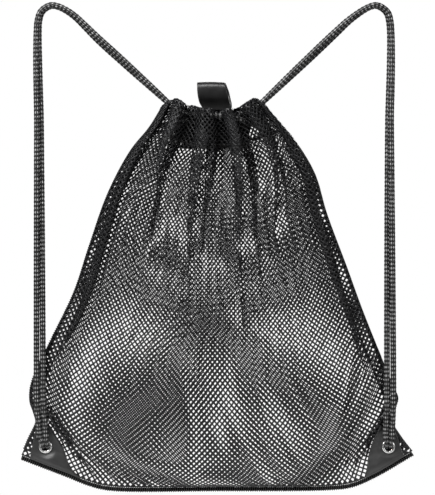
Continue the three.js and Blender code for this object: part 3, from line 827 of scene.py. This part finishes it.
def relax_cloth(name, steps, seed):
    """Lets the cloth find its folds between its seams, over the load and under its own weight."""
    random = np.random.default_rng(seed)
    p = cloth_start(name, random)
    rest_shape = p.copy()
    u = np.linspace(0, 1, GRID + 1)[None, :]
    v = np.linspace(0, 1, GRID + 1)[:, None]
    w = np.ones((GRID + 1, GRID + 1, 1))
    w[0], w[-1], w[:, 0], w[:, -1] = 0, 0, 0, 0
    flat_corner = (np.minimum(u, 1 - u) < flat_margin(v) * 0.9) & (v < 0.12)
    w[flat_corner] = 0
    left = left_outline(lerp(CORNER_Z, CASING_TOP_Z, v))
    right = right_outline(lerp(CORNER_Z, CASING_TOP_Z, v))
    full = load_fullness(u, v, random)
    hold = shape_hold(v)
    slack = np.ones((GRID + 1, GRID + 1, 1)) * (1 - 0.85 * smooth(v, 0.82, 0.92))[..., None]
    families = link_families()
    velocity = np.zeros_like(p)
    for _ in range(steps):
        before = p.copy()
        p += velocity * CLOTH_DAMPING * w
        p[..., 2:] -= CLOTH_WEIGHT * w
        for _ in range(CLOTH_PASSES):
            for a, b, rest, stretch, press in families:
                pull(p, w, slack, a, b, rest, stretch, press)
            x = np.clip(p[..., 0], left + 0.3, right - 0.3)
            share = (x - left) / (right - left)
            shell = shell_out(share, np.broadcast_to(v, share.shape))
            low, high = cloth_limits(shell, v, full)
            free = w[..., 0] > 0
            p[..., 0] = np.where(free, x, p[..., 0])
            p[..., 1] = np.where(free, np.clip(p[..., 1], low, high), p[..., 1])
            p += (rest_shape - p) * (hold[..., None] * w)
        velocity = p - before
    return p


def cubic_at(grid, rows, columns):
    """Catmull-Rom surface through a grid of points, at fractional rows and columns."""

    def weights(t):
        return (
            (-t + 2 * t**2 - t**3) / 2, (2 - 5 * t**2 + 3 * t**3) / 2,
            (t + 4 * t**2 - 3 * t**3) / 2, (t**3 - t**2) / 2,
        )

    last_row, last_column = grid.shape[0] - 1, grid.shape[1] - 1
    j = np.clip(np.floor(rows).astype(int), 0, last_row - 1)
    i = np.clip(np.floor(columns).astype(int), 0, last_column - 1)
    wj, wi = weights(rows - j), weights(columns - i)
    result = np.zeros((*rows.shape, 3))
    for a in range(4):
        ja = np.clip(j + a - 1, 0, last_row)
        for b in range(4):
            ib = np.clip(i + b - 1, 0, last_column)
            result += (wj[a] * wi[b])[..., None] * grid[ja, ib]
    return result


class Cloth:
    """A relaxed panel that turns down inside the casing, as a surface over its flat millimetres."""

    def __init__(self, name, steps, seed):
        self.direction = DIRECTIONS[name]
        p = relax_cloth(name, steps, seed)
        hem_rows = int(CASING_HEM / CELL)
        hem = p[-2 : -2 - hem_rows : -1].copy()
        hem[..., 1] = np.maximum(hem[..., 1] - HEM_GAP, HEM_LEAST_OUT)
        hem[0, :, 2] += 1.2
        top = p[-1:].copy()
        top[..., 1] -= 1.0
        top[..., 2] += 0.6
        p = np.concatenate([p[:-1], top, hem])
        p[..., 1] *= self.direction
        self.grid = p
        self.height = (len(p) - 1) * CELL

    def at(self, x, y):
        x, y = np.broadcast_arrays(np.asarray(x, float), np.asarray(y, float))
        return cubic_at(self.grid, y / CELL, x / CELL)

    def normal(self, x, y):
        """Away from the bag's inside, wherever the cloth isn't turned over."""
        d = 0.8
        along = self.at(x + d, y) - self.at(x - d, y)
        up = self.at(x, y + d) - self.at(x, y - d)
        return unit(np.cross(along, up)) * (-self.direction)


def net_arrays(at, width, height, thread=NET_THREAD, fold=None):
    """A closed net of crossing threads: diamond holes on the even points of a grid, knots on the odd.

    The threads crowd together where the net is folded over, at the flat height fold.
    """
    h = NET_HALF_STEP
    columns = int(width / h / 2 + 1e-6) * 2
    rows = int(height / h / 2 + 1e-6) * 2
    q, p = np.meshgrid(np.arange(rows + 1), np.arange(columns + 1), indexing="ij")
    odd = (p + q) % 2 == 1
    border = (p == 0) | (q == 0) | (p == columns) | (q == rows)
    solid = odd | border
    x, y = p * h, q * h
    middle = at(x, y)
    along = at(x + 0.5 * h, y) - at(x - 0.5 * h, y)
    up = at(x, y + 0.5 * h) - at(x, y - 0.5 * h)
    normal = unit(np.cross(along, up))
    lift = NET_THICKNESS / 2
    number = np.full(p.shape, -1)
    number[solid] = np.arange(solid.sum())
    count = int(solid.sum())
    outer = middle[solid] + normal[solid] * lift
    inner = middle[solid] - normal[solid] * lift
    hole = ~solid
    hp, hq = p[hole], q[hole]
    wide = np.linalg.norm(along[hole], axis=-1)
    tall = np.linalg.norm(up[hole], axis=-1)
    reach = wide * tall / np.maximum(np.hypot(wide, tall), 1e-6)
    if fold is not None:
        thread = thread + FOLD_CROWDING * np.exp(-(((hq * h - fold) / FOLD_CROWDING_REACH) ** 2))
    open_share = np.clip(1 - thread / 2 / np.maximum(reach, 1e-6), *OPEN_SHARE_LIMITS)
    rims = []
    for dp, dq in ((1, 0), (0, 1), (-1, 0), (0, -1)):
        rims.append(at((hp + dp * open_share) * h, (hq + dq * open_share) * h))
    rim_base = 2 * count
    holes = len(hp)
    points = np.vstack([outer, inner, *rims])
    knots = [number[hq, hp + 1], number[hq + 1, hp], number[hq, hp - 1], number[hq - 1, hp]]
    rim = [rim_base + k * holes + np.arange(holes) for k in range(4)]
    faces = []
    for k in range(4):
        n = (k + 1) % 4
        faces.append(np.stack([knots[k], knots[n], rim[n], rim[k]], 1))
        faces.append(np.stack([knots[n] + count, knots[k] + count, rim[k], rim[n]], 1))
    faces = [tuple(f) for f in np.vstack(faces)]
    faces += edge_faces(number, count, rows, columns)
    return points, faces


def edge_faces(number, count, rows, columns):
    """Fills the half cells along the net's four edges and closes the edges themselves."""
    faces = []
    ring = [(0, i) for i in range(columns)] + [(j, columns) for j in range(rows)]
    ring += [(rows, i) for i in range(columns, 0, -1)] + [(j, 0) for j in range(rows, 0, -1)]
    for k, (j, i) in enumerate(ring):
        j2, i2 = ring[(k + 1) % len(ring)]
        a, b = number[j, i], number[j2, i2]
        faces.append((b, a, a + count, b + count))
        if (i + j) % 2 == 1:
            continue
        j0, i0 = ring[k - 1]
        before = number[j0, i0]
        corner = i in (0, columns) and j in (0, rows)
        if corner:
            faces.append((before, a, b))
            faces.append((a + count, before + count, b + count))
            continue
        inside = number[min(max(j, 1), rows - 1), min(max(i, 1), columns - 1)]
        faces.append((before, a, inside))
        faces.append((a, b, inside))
        faces.append((a + count, before + count, inside + count))
        faces.append((b + count, a + count, inside + count))
    return faces


def make_net(name, cloth):
    arrays = net_arrays(cloth.at, CLOTH_WIDTH, cloth.height, fold=CLOTH_HEIGHT)
    net = bag_piece(name + "_net", arrays, "net", name + "_net_panel")


# ---------- solids from surfaces ----------
def plate_arrays(middle, normal, half):
    """A closed sheet about a grid of middle points, half thick each way, which may vary."""
    rows, columns = middle.shape[:2]
    away = normal * half[..., None]
    points = np.vstack([(middle + away).reshape(-1, 3), (middle - away).reshape(-1, 3)])
    count = rows * columns
    at = np.arange(count).reshape(rows, columns)
    a, b, c, d = at[:-1, :-1], at[:-1, 1:], at[1:, 1:], at[1:, :-1]
    faces = [tuple(f) for f in np.stack([a, b, c, d], -1).reshape(-1, 4)]
    faces += [tuple(f) for f in np.stack([d, c, b, a], -1).reshape(-1, 4) + count]
    ring = [*at[0, :-1], *at[:-1, -1], *at[-1, :0:-1], *at[:0:-1, 0]]
    for k, i in enumerate(ring):
        j = ring[(k + 1) % len(ring)]
        faces.append((j, i, i + count, j + count))
    return points, faces


def grid_normal(middle):
    return unit(np.cross(np.gradient(middle, axis=1), np.gradient(middle, axis=0)))


def rounded_half(middle, thickness, edge):
    """Half thicknesses that round off towards the four edges of a grid of points."""
    across = np.r_["1", np.zeros((len(middle), 1)),
                   np.cumsum(np.linalg.norm(np.diff(middle, axis=1), axis=-1), axis=1)]
    down = np.r_[np.zeros((1, middle.shape[1])),
                 np.cumsum(np.linalg.norm(np.diff(middle, axis=0), axis=-1), axis=0)]
    near = np.minimum(np.minimum(across, across[:, -1:] - across), np.minimum(down, down[-1:] - down))
    s = np.clip(near / edge, 0, 1)
    return thickness / 2 * (0.3 + 0.7 * np.sqrt(1 - (1 - s) ** 2))


def edged(count, fine=(0.006, 0.02, 0.045)):
    """Even grid lines from 0 to 1 with a few more close to both ends."""
    inner = np.linspace(0.08, 0.92, count)
    return np.array([0, *fine, *inner, *(1 - np.array(fine[::-1])), 1])


def lathe_arrays(section, centre, sides=64):
    """A ring about the Y axis through centre. section is a closed line of (radius, y)."""
    section = np.asarray(section, float)
    angle = 2 * np.pi * np.arange(sides) / sides
    r, y = section[None, :, 0], section[None, :, 1]
    points = np.stack([centre[0] + r * np.cos(angle)[:, None], centre[1] + y + 0 * angle[:, None],
                       centre[2] + r * np.sin(angle)[:, None]], -1).reshape(-1, 3)
    n = section.shape[0]
    faces = []
    for k in range(sides):
        m = (k + 1) % sides
        for i in range(n):
            j = (i + 1) % n
            faces.append((k * n + i, k * n + j, m * n + j, m * n + i))
    return points, faces


def thread_tube(path, radius, sides=5):
    """A plain thread along a line, with tapered ends."""
    path = np.asarray(path, float)
    share = np.linspace(0, 1, len(path))
    taper = np.where((share == 0) | (share == 1), 0.45, 1.0)
    return tube_arrays(path, lambda run, angle: radius * taper[:, None] + 0 * angle, sides, (0.3, 1, 0.2))


def stitches_along(line, outward, length, gap, radius):
    """Sunk stitches along a line of points: each rises out of the cloth, runs and goes back in."""
    run = distance_along(line)
    parts = []
    shape = [(-0.02, -0.7), (0.08, 0.35), (0.3, 0.9), (0.7, 0.9), (0.92, 0.35), (1.02, -0.7)]
    for start in np.arange(0.5 * gap, run[-1] - length, length + gap):
        at = start + length * np.array([a for a, _ in shape])
        lift = radius * np.array([b for _, b in shape])
        normal = unit(on_line(at, run, outward))
        parts.append(thread_tube(on_line(at, run, line) + normal * lift[:, None], radius))
    return merged(parts)


def squared(value, power):
    """A sine or cosine that makes a rounded square instead of a circle."""
    return np.sign(value) * np.abs(value) ** power


def wrapped_thread(line, half_y, half_other, pitch, radius):
    """An overlocking thread that winds round an edge."""
    line = spaced(line, pitch / WRAP_STEPS)
    tangents = unit(np.gradient(line, axis=0))
    y = np.array([0.0, 1.0, 0.0])
    other = unit(np.cross(tangents, y))
    turn = 2 * np.pi * np.arange(len(line)) / WRAP_STEPS
    path = line + y * (half_y * squared(np.cos(turn), 0.8))[:, None]
    path = path + other * (half_other * squared(np.sin(turn), 0.8))[:, None]
    return thread_tube(path, radius)


# ---------- seams and hem ----------
WRAP_STEPS = 14  # points in one turn of an overlocking thread
SEAM_INSET = 1.4
SEAM_ALLOWANCE = 12.0
SEAM_THREAD = 1.7
SEAM_STEP = 2.0
SEAM_LOW, SEAM_HIGH = -443.0, -128.0
HEM_SIDES = 14
HEM_HALF_Y = 1.35
HEM_HALF_Z = 1.9
HEM_DROP = 2.7  # of the hem's middle below the net's lower edge


def outline_line(outline, inward):
    """The middle of a side seam, just inside the bag's outline."""
    z = np.arange(SEAM_LOW, SEAM_HIGH, SEAM_STEP)
    line = np.stack([outline(z), 0 * z, z], 1)
    tangents = unit(np.gradient(line, axis=0))
    return spaced(line + np.cross(tangents, (0, -inward, 0)) * SEAM_INSET, SEAM_STEP)


def make_side_seam(side, outline, inward):
    """The overlocked edge where both panels meet, and the net's turned-in allowances behind it."""
    line = outline_line(outline, inward)
    run = distance_along(line)
    normal = np.cross(unit(np.gradient(line, axis=0)), (0, -inward, 0))
    parts = []
    for sign in (-1, 1):

        def at(x, y, sign=sign):
            wave = 0.5 * np.sin(y / 9.0 + sign) * np.clip(x / SEAM_ALLOWANCE, 0, 1)
            base = on_line(y, run, line) + on_line(y, run, normal) * x[..., None]
            base[..., 1] += sign * (0.75 + 0.07 * x) + wave
            return base

        parts.append(net_arrays(at, SEAM_ALLOWANCE, run[-1], thread=SEAM_THREAD))
    allowance = bag_piece(side + "_seam_allowance", merged(parts), "net")

    edge = wrapped_thread(line, half_y=2.1, half_other=1.5, pitch=2.3, radius=0.42)
    core = tube_arrays(line, lambda r, a: 1.25 + 0.12 * np.sin(r * 2.7) + 0 * a, 10)
    bag_piece(
        side + "_seam_overlock", merged([core, edge]), "thread", side + "_side_seam"
    )


def make_hem():
    """The bound lower edge: a slightly lumpy flat tape and the thread wound over it."""
    u = np.linspace(0, 1, 160)
    x = lerp(float(left_outline(CORNER_Z)), float(right_outline(CORNER_Z)), u)
    line = spaced(np.stack([x, 0 * x, lower_edge(u) - HEM_DROP], 1), 1.6)
    down = np.cross(unit(np.gradient(line, axis=0)), (0, 1, 0))
    angle = 2 * np.pi * np.arange(HEM_SIDES) / HEM_SIDES
    a = squared(np.cos(angle), 0.6)
    b = squared(np.sin(angle), 0.6)
    count = np.arange(len(line))
    lump = 1 + 0.07 * np.sin(count * 2.1) + 0.05 * np.sin(count * 0.9)
    points = line[:, None] + np.array([0, HEM_HALF_Y, 0]) * a[None, :, None] * lump[:, None, None]
    points = points + down[:, None] * (b[None, :, None] * HEM_HALF_Z * lump[:, None, None])
    arrays = points.reshape(-1, 3), tube_faces(len(line), HEM_SIDES)
    bag_piece("bottom_hem_tape", arrays, "tape", "bottom_binding")
    thread = wrapped_thread(line, half_y=1.75, half_other=2.35, pitch=2.2, radius=0.45)
    bag_piece("bottom_hem_overlock", thread, "thread")


# ---------- casing ----------
LINING_HALF_WIDTH = 34.0
LINING_BOTTOM_Z = -142.5
LINING_TOP_Z = -105.6
LINING_THICKNESS = 0.7
LINING_STEP = 1.4
CASING_STITCH_ROWS = (37.0, 39.6)  # distances below the casing's fold, along the flat net


def lining_rows(x):
    """The lining's long creases as (y, z), from its roof's edge to its foot."""
    roof_z = LINING_TOP_Z + 3.6 * (x / LINING_HALF_WIDTH) ** 2
    wall = 2.2 + 6.8 * np.cos(np.pi * x / 72)
    shell = 20.0 * np.cos(np.pi * x / 96) ** 0.5
    foot = shell + 2.2
    level = roof_z * 0
    return [
        (shell - 1.0, roof_z), (wall + 1.6, roof_z), (wall + 0.4, roof_z - 0.7),
        (wall, roof_z - 2.2), (wall, level - 127), (wall + 1.2, level - 130),
        (foot - 0.5, level + LINING_BOTTOM_Z + 1.4), (foot, level + LINING_BOTTOM_Z),
    ]


def make_lining(name):
    """The opaque tape inside the casing: a roof, the inner wall and a foot that is sewn to the net."""
    x = np.linspace(-LINING_HALF_WIDTH, LINING_HALF_WIDTH, 90)
    rows = lining_rows(x)
    fine = []
    for (y0, z0), (y1, z1) in zip(rows, rows[1:]):
        steps = max(int(np.hypot(y1 - y0, z1 - z0).max() / LINING_STEP), 1)
        for k in range(steps):
            t = k / steps
            fine.append(np.stack([x, lerp(y0, y1, t), lerp(z0, z1, t)], -1))
    fine.append(np.stack([x, rows[-1][0], rows[-1][1]], -1))
    middle = np.array(fine)
    z = middle[..., 2]
    inside = np.clip((z + 140) / 10, 0, 1) * np.clip((-107 - z) / 6, 0, 1)
    middle[..., 1] += inside * (0.5 * np.sin(x / 3.1 + z / 14) + 0.3 * np.sin(x / 1.7))
    middle[..., 1] *= DIRECTIONS[name]
    half = rounded_half(middle, LINING_THICKNESS, 0.5)
    arrays = plate_arrays(middle, grid_normal(middle), half)
    lining = bag_piece(name + "_lining", arrays, "tape", name + "_casing_lining")


def make_casing_stitches(name, cloth):
    parts = []
    x = np.linspace(6, CLOTH_WIDTH - 6, 700)
    for below in CASING_STITCH_ROWS:
        y = np.full_like(x, CLOTH_HEIGHT - below)
        normal = cloth.normal(x, y)
        line = cloth.at(x, y) + normal * NET_THICKNESS * 0.5
        parts.append(stitches_along(line, normal, length=2.6, gap=0.9, radius=0.3))
    bag_piece(name + "_casing_stitches", merged(parts), "thread")


# ---------- corners ----------
PATCH_INNER = {
    "left": profile(
        [
            (-478, -132.5), (-462.5, -145.5), (-449.5, -149.8), (-439.5, -153.7), (-430, -160),
            (-420, -165.8),
        ]
    ),
    "right": profile(
        [(-478, 149.5), (-465, 151.5), (-450.5, 153), (-440, 156), (-430, 160), (-420, 164.5)]
    ),
}
PATCH_OUTER = {
    "left": profile([(-452, -185.8), (-440, -183), (-430, -181), (-419, -178.6)]),
    "right": profile([(-452, 189), (-440, 184.5), (-430, 181.5), (-419, 176.8)]),
}
PATCH_TOP_Z = -419.5
PATCH_LOW_OUTER_Z = -451.0
PATCH_LOW_INNER_Z = -475.0
PATCH_THICKNESS = 1.0
PATCH_MIDDLE_Y = PATCH_FACE_Y - PATCH_THICKNESS / 2
PATCH_HOLE = 4.9
CORNER_REACH = 160.0  # height of net, from its lower edge, that can lie behind a patch


def cloth_out_near(cloth, x, z):
    """How far the relaxed cloth stands out near the points (x, z)."""
    grid = cloth.grid[: int(CORNER_REACH / CELL)].reshape(-1, 3)
    flat = np.stack([x.ravel(), z.ravel()], 1)
    d = ((flat[:, None] - grid[None, :, ::2]) ** 2).sum(-1) + 0.5
    weight = 1 / d**2
    out = (weight * np.abs(grid[None, :, 1])).sum(1) / weight.sum(1)
    return out.reshape(x.shape)


def hem_top(x):
    left, right = float(left_outline(CORNER_Z)), float(right_outline(CORNER_Z))
    return lower_edge((x - left) / (right - left)) - 0.4


def patch_grid(side):
    """Grid points of a patch in the X-Z plane, from its outer to its inner edge and up."""
    s = edged(30)
    t = edged(34)
    middle = np.zeros((len(t), len(s), 3))
    for k, share in enumerate(t):
        z_out = lerp(PATCH_LOW_OUTER_Z, PATCH_TOP_Z, share)
        z_in = lerp(PATCH_LOW_INNER_Z, PATCH_TOP_Z - 1, share)
        x_out, x_in = float(PATCH_OUTER[side](z_out)), float(PATCH_INNER[side](z_in))
        middle[k, :, 0] = lerp(x_out, x_in, s)
        middle[k, :, 2] = lerp(z_out, z_in, s)
    low = hem_top(middle[0, :, 0])
    rise = (1 - smooth(t, 0, 0.35))[:, None]
    middle[..., 2] += rise * (low - middle[0, :, 2])[None, :]
    return middle


def patch_relief(name, side, x, z):
    """The leather's creases and the fullness below the eyelet."""
    mirror = 1 if side == "left" else -1
    crease = 0.45 * np.sin((z + 0.8 * mirror * x) / 4.3 + (2 if name == "back" else 0))
    crease += 0.3 * np.sin((z - 0.35 * mirror * x) / 2.7 + 1.3)
    rise = np.clip((z - hem_top(x[0])[None, :]) / 22, 0, 1)
    puff = 2.6 * np.sin(np.pi * rise**0.6) * np.exp(-(((np.abs(x) - 163) / 17) ** 2))
    return 0.35 * np.abs(crease) + puff


def drilled(obj, x, z, radius):
    """Cuts a round hole through along Y."""
    bpy.ops.mesh.primitive_cylinder_add(
        vertices=48,
        radius=radius * MM,
        depth=30 * MM,
        location=(x * MM, 0, z * MM),
        rotation=(math.pi / 2, 0, 0),
    )
    drill = bpy.context.object
    cut = obj.modifiers.new("hole", "BOOLEAN")
    cut.object = drill
    cut.solver = "EXACT"
    evaluated = obj.evaluated_get(bpy.context.evaluated_depsgraph_get())
    mesh = bpy.data.meshes.new_from_object(evaluated)
    obj.modifiers.clear()
    obj.data = mesh
    bpy.data.objects.remove(drill)


def inset_ring(grid, inset):
    """The points of a grid that lie inset rows inside its edges, all the way round."""
    return np.vstack(
        [
            grid[inset:-inset, -1 - inset], grid[-1 - inset, -1 - inset : inset : -1],
            grid[-inset:inset:-1, inset], grid[inset, inset:-inset],
        ]
    )


def make_patch(name, side, cloth):
    direction = DIRECTIONS[name]
    middle = patch_grid(side)
    x, z = middle[..., 0], middle[..., 2]
    away = np.hypot(x - EYELET_X[side], z - EYELET_Z)
    calm = smooth(away, EYELET_FLANGE, EYELET_FLANGE + 7)
    out = np.maximum(cloth_out_near(cloth, x, z) + 1.35, PATCH_MIDDLE_Y)
    for _ in range(6):
        out[1:-1, 1:-1] = (out[:-2, 1:-1] + out[2:, 1:-1] + out[1:-1, :-2] + out[1:-1, 2:]) / 4
    out = lerp(PATCH_MIDDLE_Y, out, calm)
    middle[..., 1] = direction * (out + calm * patch_relief(name, side, x, z))
    normal = grid_normal(middle)
    normal *= np.sign(normal[..., 1:2]) * direction
    arrays = plate_arrays(middle, normal, rounded_half(middle, PATCH_THICKNESS, 0.8))
    corner = f"{name}_{side}_corner"
    patch = bag_piece(corner + "_leather", arrays, "leather", corner + "_patch")
    drilled(patch, EYELET_X[side], EYELET_Z, PATCH_HOLE)

    ring_normal = inset_ring(normal, 3)
    ring = inset_ring(middle, 3) + ring_normal * 0.45
    stitches = stitches_along(ring, ring_normal, length=2.4, gap=0.8, radius=0.24)
    sewn = bag_piece(corner + "_stitches", stitches, "thread")


EYELET_LIP_Y = 3.4  # where the eyelet's bore ends and its rolled lip begins
WASHER_BACK_Y = 3.45


def make_eyelet(side):
    """The domed flange in front, its barrel and rolled lip, and the washer behind."""
    place = (EYELET_X[side], 0, EYELET_Z)
    front = -(PATCH_FACE_Y + 0.35)
    wide = (EYELET_FLANGE - EYELET_HOLE) / 2
    middle = EYELET_HOLE + wide
    turn = np.linspace(0, math.pi, 14)
    dome = [(middle - wide * math.cos(a), front - 1.15 * math.sin(a) ** 0.8) for a in turn]
    under = [(EYELET_FLANGE - 0.25, front + 0.12), (4.6, front + 0.12), (4.5, front + 0.6), (4.5, 3.6)]
    curl = np.linspace(-0.5 * math.pi, math.pi, 12)[2:]
    rolled = [(5.05 + 0.62 * math.cos(a), 4.1 + 0.62 * math.sin(a)) for a in curl]
    section = dome + under + rolled + [(4.12, 4.0), (EYELET_HOLE, EYELET_LIP_Y)]
    bag_piece(
        side + "_eyelet_ring", lathe_arrays(section, place), "metal", side + "_eyelet"
    )
    low, high = PATCH_FACE_Y + 0.3, WASHER_BACK_Y
    washer = [
        (4.85, low), (EYELET_FLANGE + 0.2, low), (EYELET_FLANGE + 0.35, low + 0.2),
        (EYELET_FLANGE, high - 0.1), (EYELET_FLANGE - 0.4, high), (5.0, high), (4.85, high - 0.15),
    ]
    arrays = lathe_arrays(washer, place)
    bag_piece(side + "_eyelet_back_ring", arrays, "metal", side + "_eyelet_washer")


STRAP_FOOT_Y, STRAP_FOOT_Z = -8.0, -430.02  # where the strap's cords meet the knot's
KNOT_SIZE = 2.05
KNOT_Y = 11.2
KNOT_CORD_RADIUS = 2.6
TAIL_CORD_RADIUS = 2.7


def make_knot(side):
    """Both cord ends squeezed through the eyelet and tied in a knot behind it, with short tails."""
    ex = EYELET_X[side]
    fx = STRAP_ROUTES[side][-1][0]
    half = CORD_PITCH / 2
    parts, painted_highlights = [], []

    def add(points, radius, **braid_values):
        p, f, painted_highlight = braided_tube(centripetal(points), radius, **braid_values)
        parts.append((p, f))
        painted_highlights.append(painted_highlight)

    for sign in (-1, 1):
        strap = "front" if (sign < 0) == (side == "left") else "back"
        phase, start = strap_end(side, strap)
        add(
            [
                (fx + sign * half, STRAP_FOOT_Y, STRAP_FOOT_Z), (fx + sign * half * 0.96, -8, -432),
                (lerp(fx, ex, 0.5) + sign * 2.35, -7.9, -435.2), (ex + sign * 1.98, -6.4, -438.8),
                (ex + sign * 1.95, -3.4, -440.8), (ex + sign * 1.95, 0, -441),
                (ex + sign * 1.95, 4, -441), (ex + sign * 2.6, 7.5, -441),
            ],
            CORD_RADIUS,
            taper=lambda t: 1 - 0.36 * smooth(t, 0.05, 0.38),
            phase=phase,
            start=start,
        )
    t = np.linspace(0, 2 * np.pi, 40)
    loop_x = ex + KNOT_SIZE * (np.sin(t) + 2 * np.sin(2 * t))
    loop_y = KNOT_Y - 2.7 * np.sin(3 * t)
    loop_z = EYELET_Z + KNOT_SIZE * (np.cos(t) - 2 * np.cos(2 * t))
    add(np.stack([loop_x, loop_y, loop_z], 1), KNOT_CORD_RADIUS)
    for sign in (-1, 1):
        add(
            [
                (ex + sign * 2.5, 10, -441), (ex + sign * 4.0, 11.5, -446),
                (ex + sign * 5.0, 11, -451), (ex + sign * 5.6, 10.2, -456),
            ],
            TAIL_CORD_RADIUS,
            taper=lambda t: 1 - 0.35 * smooth(t, 0.9, 1.0),
        )
    points, faces = merged(parts)
    knot = mesh_object(side + "_knot", points, faces, MATERIALS["cord"])
    # The knot's painted highlight, which the cord material turns into colour.
    set_attribute(knot, "painted_highlight", np.concatenate(painted_highlights))
    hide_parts(side + "_cord_knot")
    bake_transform(knot)


# ---------- hang loop ----------
LOOP_BASE_Z = -100.6
LOOP_Y = 4.5
LOOP_HEIGHT = 24.0  # of the band's top above the mouth
LOOP_EYE = 6.2  # half the depth of the loop's eye, over the band
LOOP_THICKNESS = 1.8
LOOP_LEFT = profile([(-131, -11.7), (-105.5, -11.9), (-96.5, -16.3), (-87.5, -18.1), (-76.4, -18.5)])
LOOP_RIGHT = profile([(-131, 15.6), (-105.5, 15.4), (-90, 12.4), (-76.4, 9.6)])


def make_hang_loop():
    """One band: sewn down inside the mouth, up, over and down again."""
    inner = LOOP_THICKNESS / 2 + 0.06
    top = LOOP_BASE_Z + LOOP_HEIGHT - LOOP_THICKNESS / 2
    eye = LOOP_EYE - LOOP_THICKNESS / 2
    leg = [(LOOP_Y - inner, z) for z in (-131.0, -120, -110, -101.5)]
    leg += [
        (LOOP_Y - inner - 0.9, -97.5), (LOOP_Y - eye + 0.9, -92), (LOOP_Y - eye, -87.5),
        (LOOP_Y - eye + 0.25, top - 3.4), (LOOP_Y - eye + 1.6, top - 1.2), (LOOP_Y - 1.9, top - 0.15),
    ]
    side_view = leg + [(LOOP_Y, top)] + [(2 * LOOP_Y - y, z) for y, z in leg[::-1]]
    line = spaced(centripetal([(y, z, 0) for y, z in side_view]), 0.8)
    share = np.linspace(0, 1, len(line))
    behind = smooth(share, 0.48, 0.62)
    left = LOOP_LEFT(line[:, 1]) + 1.6 * behind
    right = LOOP_RIGHT(line[:, 1]) + 2.2 * behind * smooth(line[:, 1], -112, -96)
    s = edged(22, (0.01, 0.03, 0.055))
    middle = np.zeros((len(line), len(s), 3))
    middle[..., 0] = left[:, None] + (right - left)[:, None] * s
    middle[..., 1] = line[:, 0][:, None]
    middle[..., 2] = line[:, 1][:, None]
    middle[..., 2] += 0.5 * np.sin(np.pi * s)[None, :] * smooth(line[:, 1], -90, -78)[:, None]
    half = rounded_half(middle, LOOP_THICKNESS, 0.9)
    arrays = plate_arrays(middle, grid_normal(middle), half)
    band = mesh_object("hang_loop_band", *arrays, MATERIALS["band"])
    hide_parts("hang_loop", "hang_loop_anchor")
    round(length_of(line) * MM, 3)
    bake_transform(band)


# ---------- build ----------
make_camera()
make_straps()
make_casing_runs()
make_light()
make_floor()
steps = CLOTH_STEPS
CLOTHS = {name: Cloth(name, steps, seed) for name, seed in CLOTH_SEEDS.items()}
for name, cloth in CLOTHS.items():
    make_net(name, cloth)
for name, cloth in CLOTHS.items():
    make_lining(name)
    make_casing_stitches(name, cloth)
    for side in SIDES:
        make_patch(name, side, cloth)
make_side_seam("left", left_outline, 1)
make_side_seam("right", right_outline, -1)
make_hem()
for side in SIDES:
    make_eyelet(side)
    make_knot(side)
make_hang_loop()

VISUAL_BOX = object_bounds()
[[list(corner) for corner in box] for box in (CAD_BOX, VISUAL_BOX)]
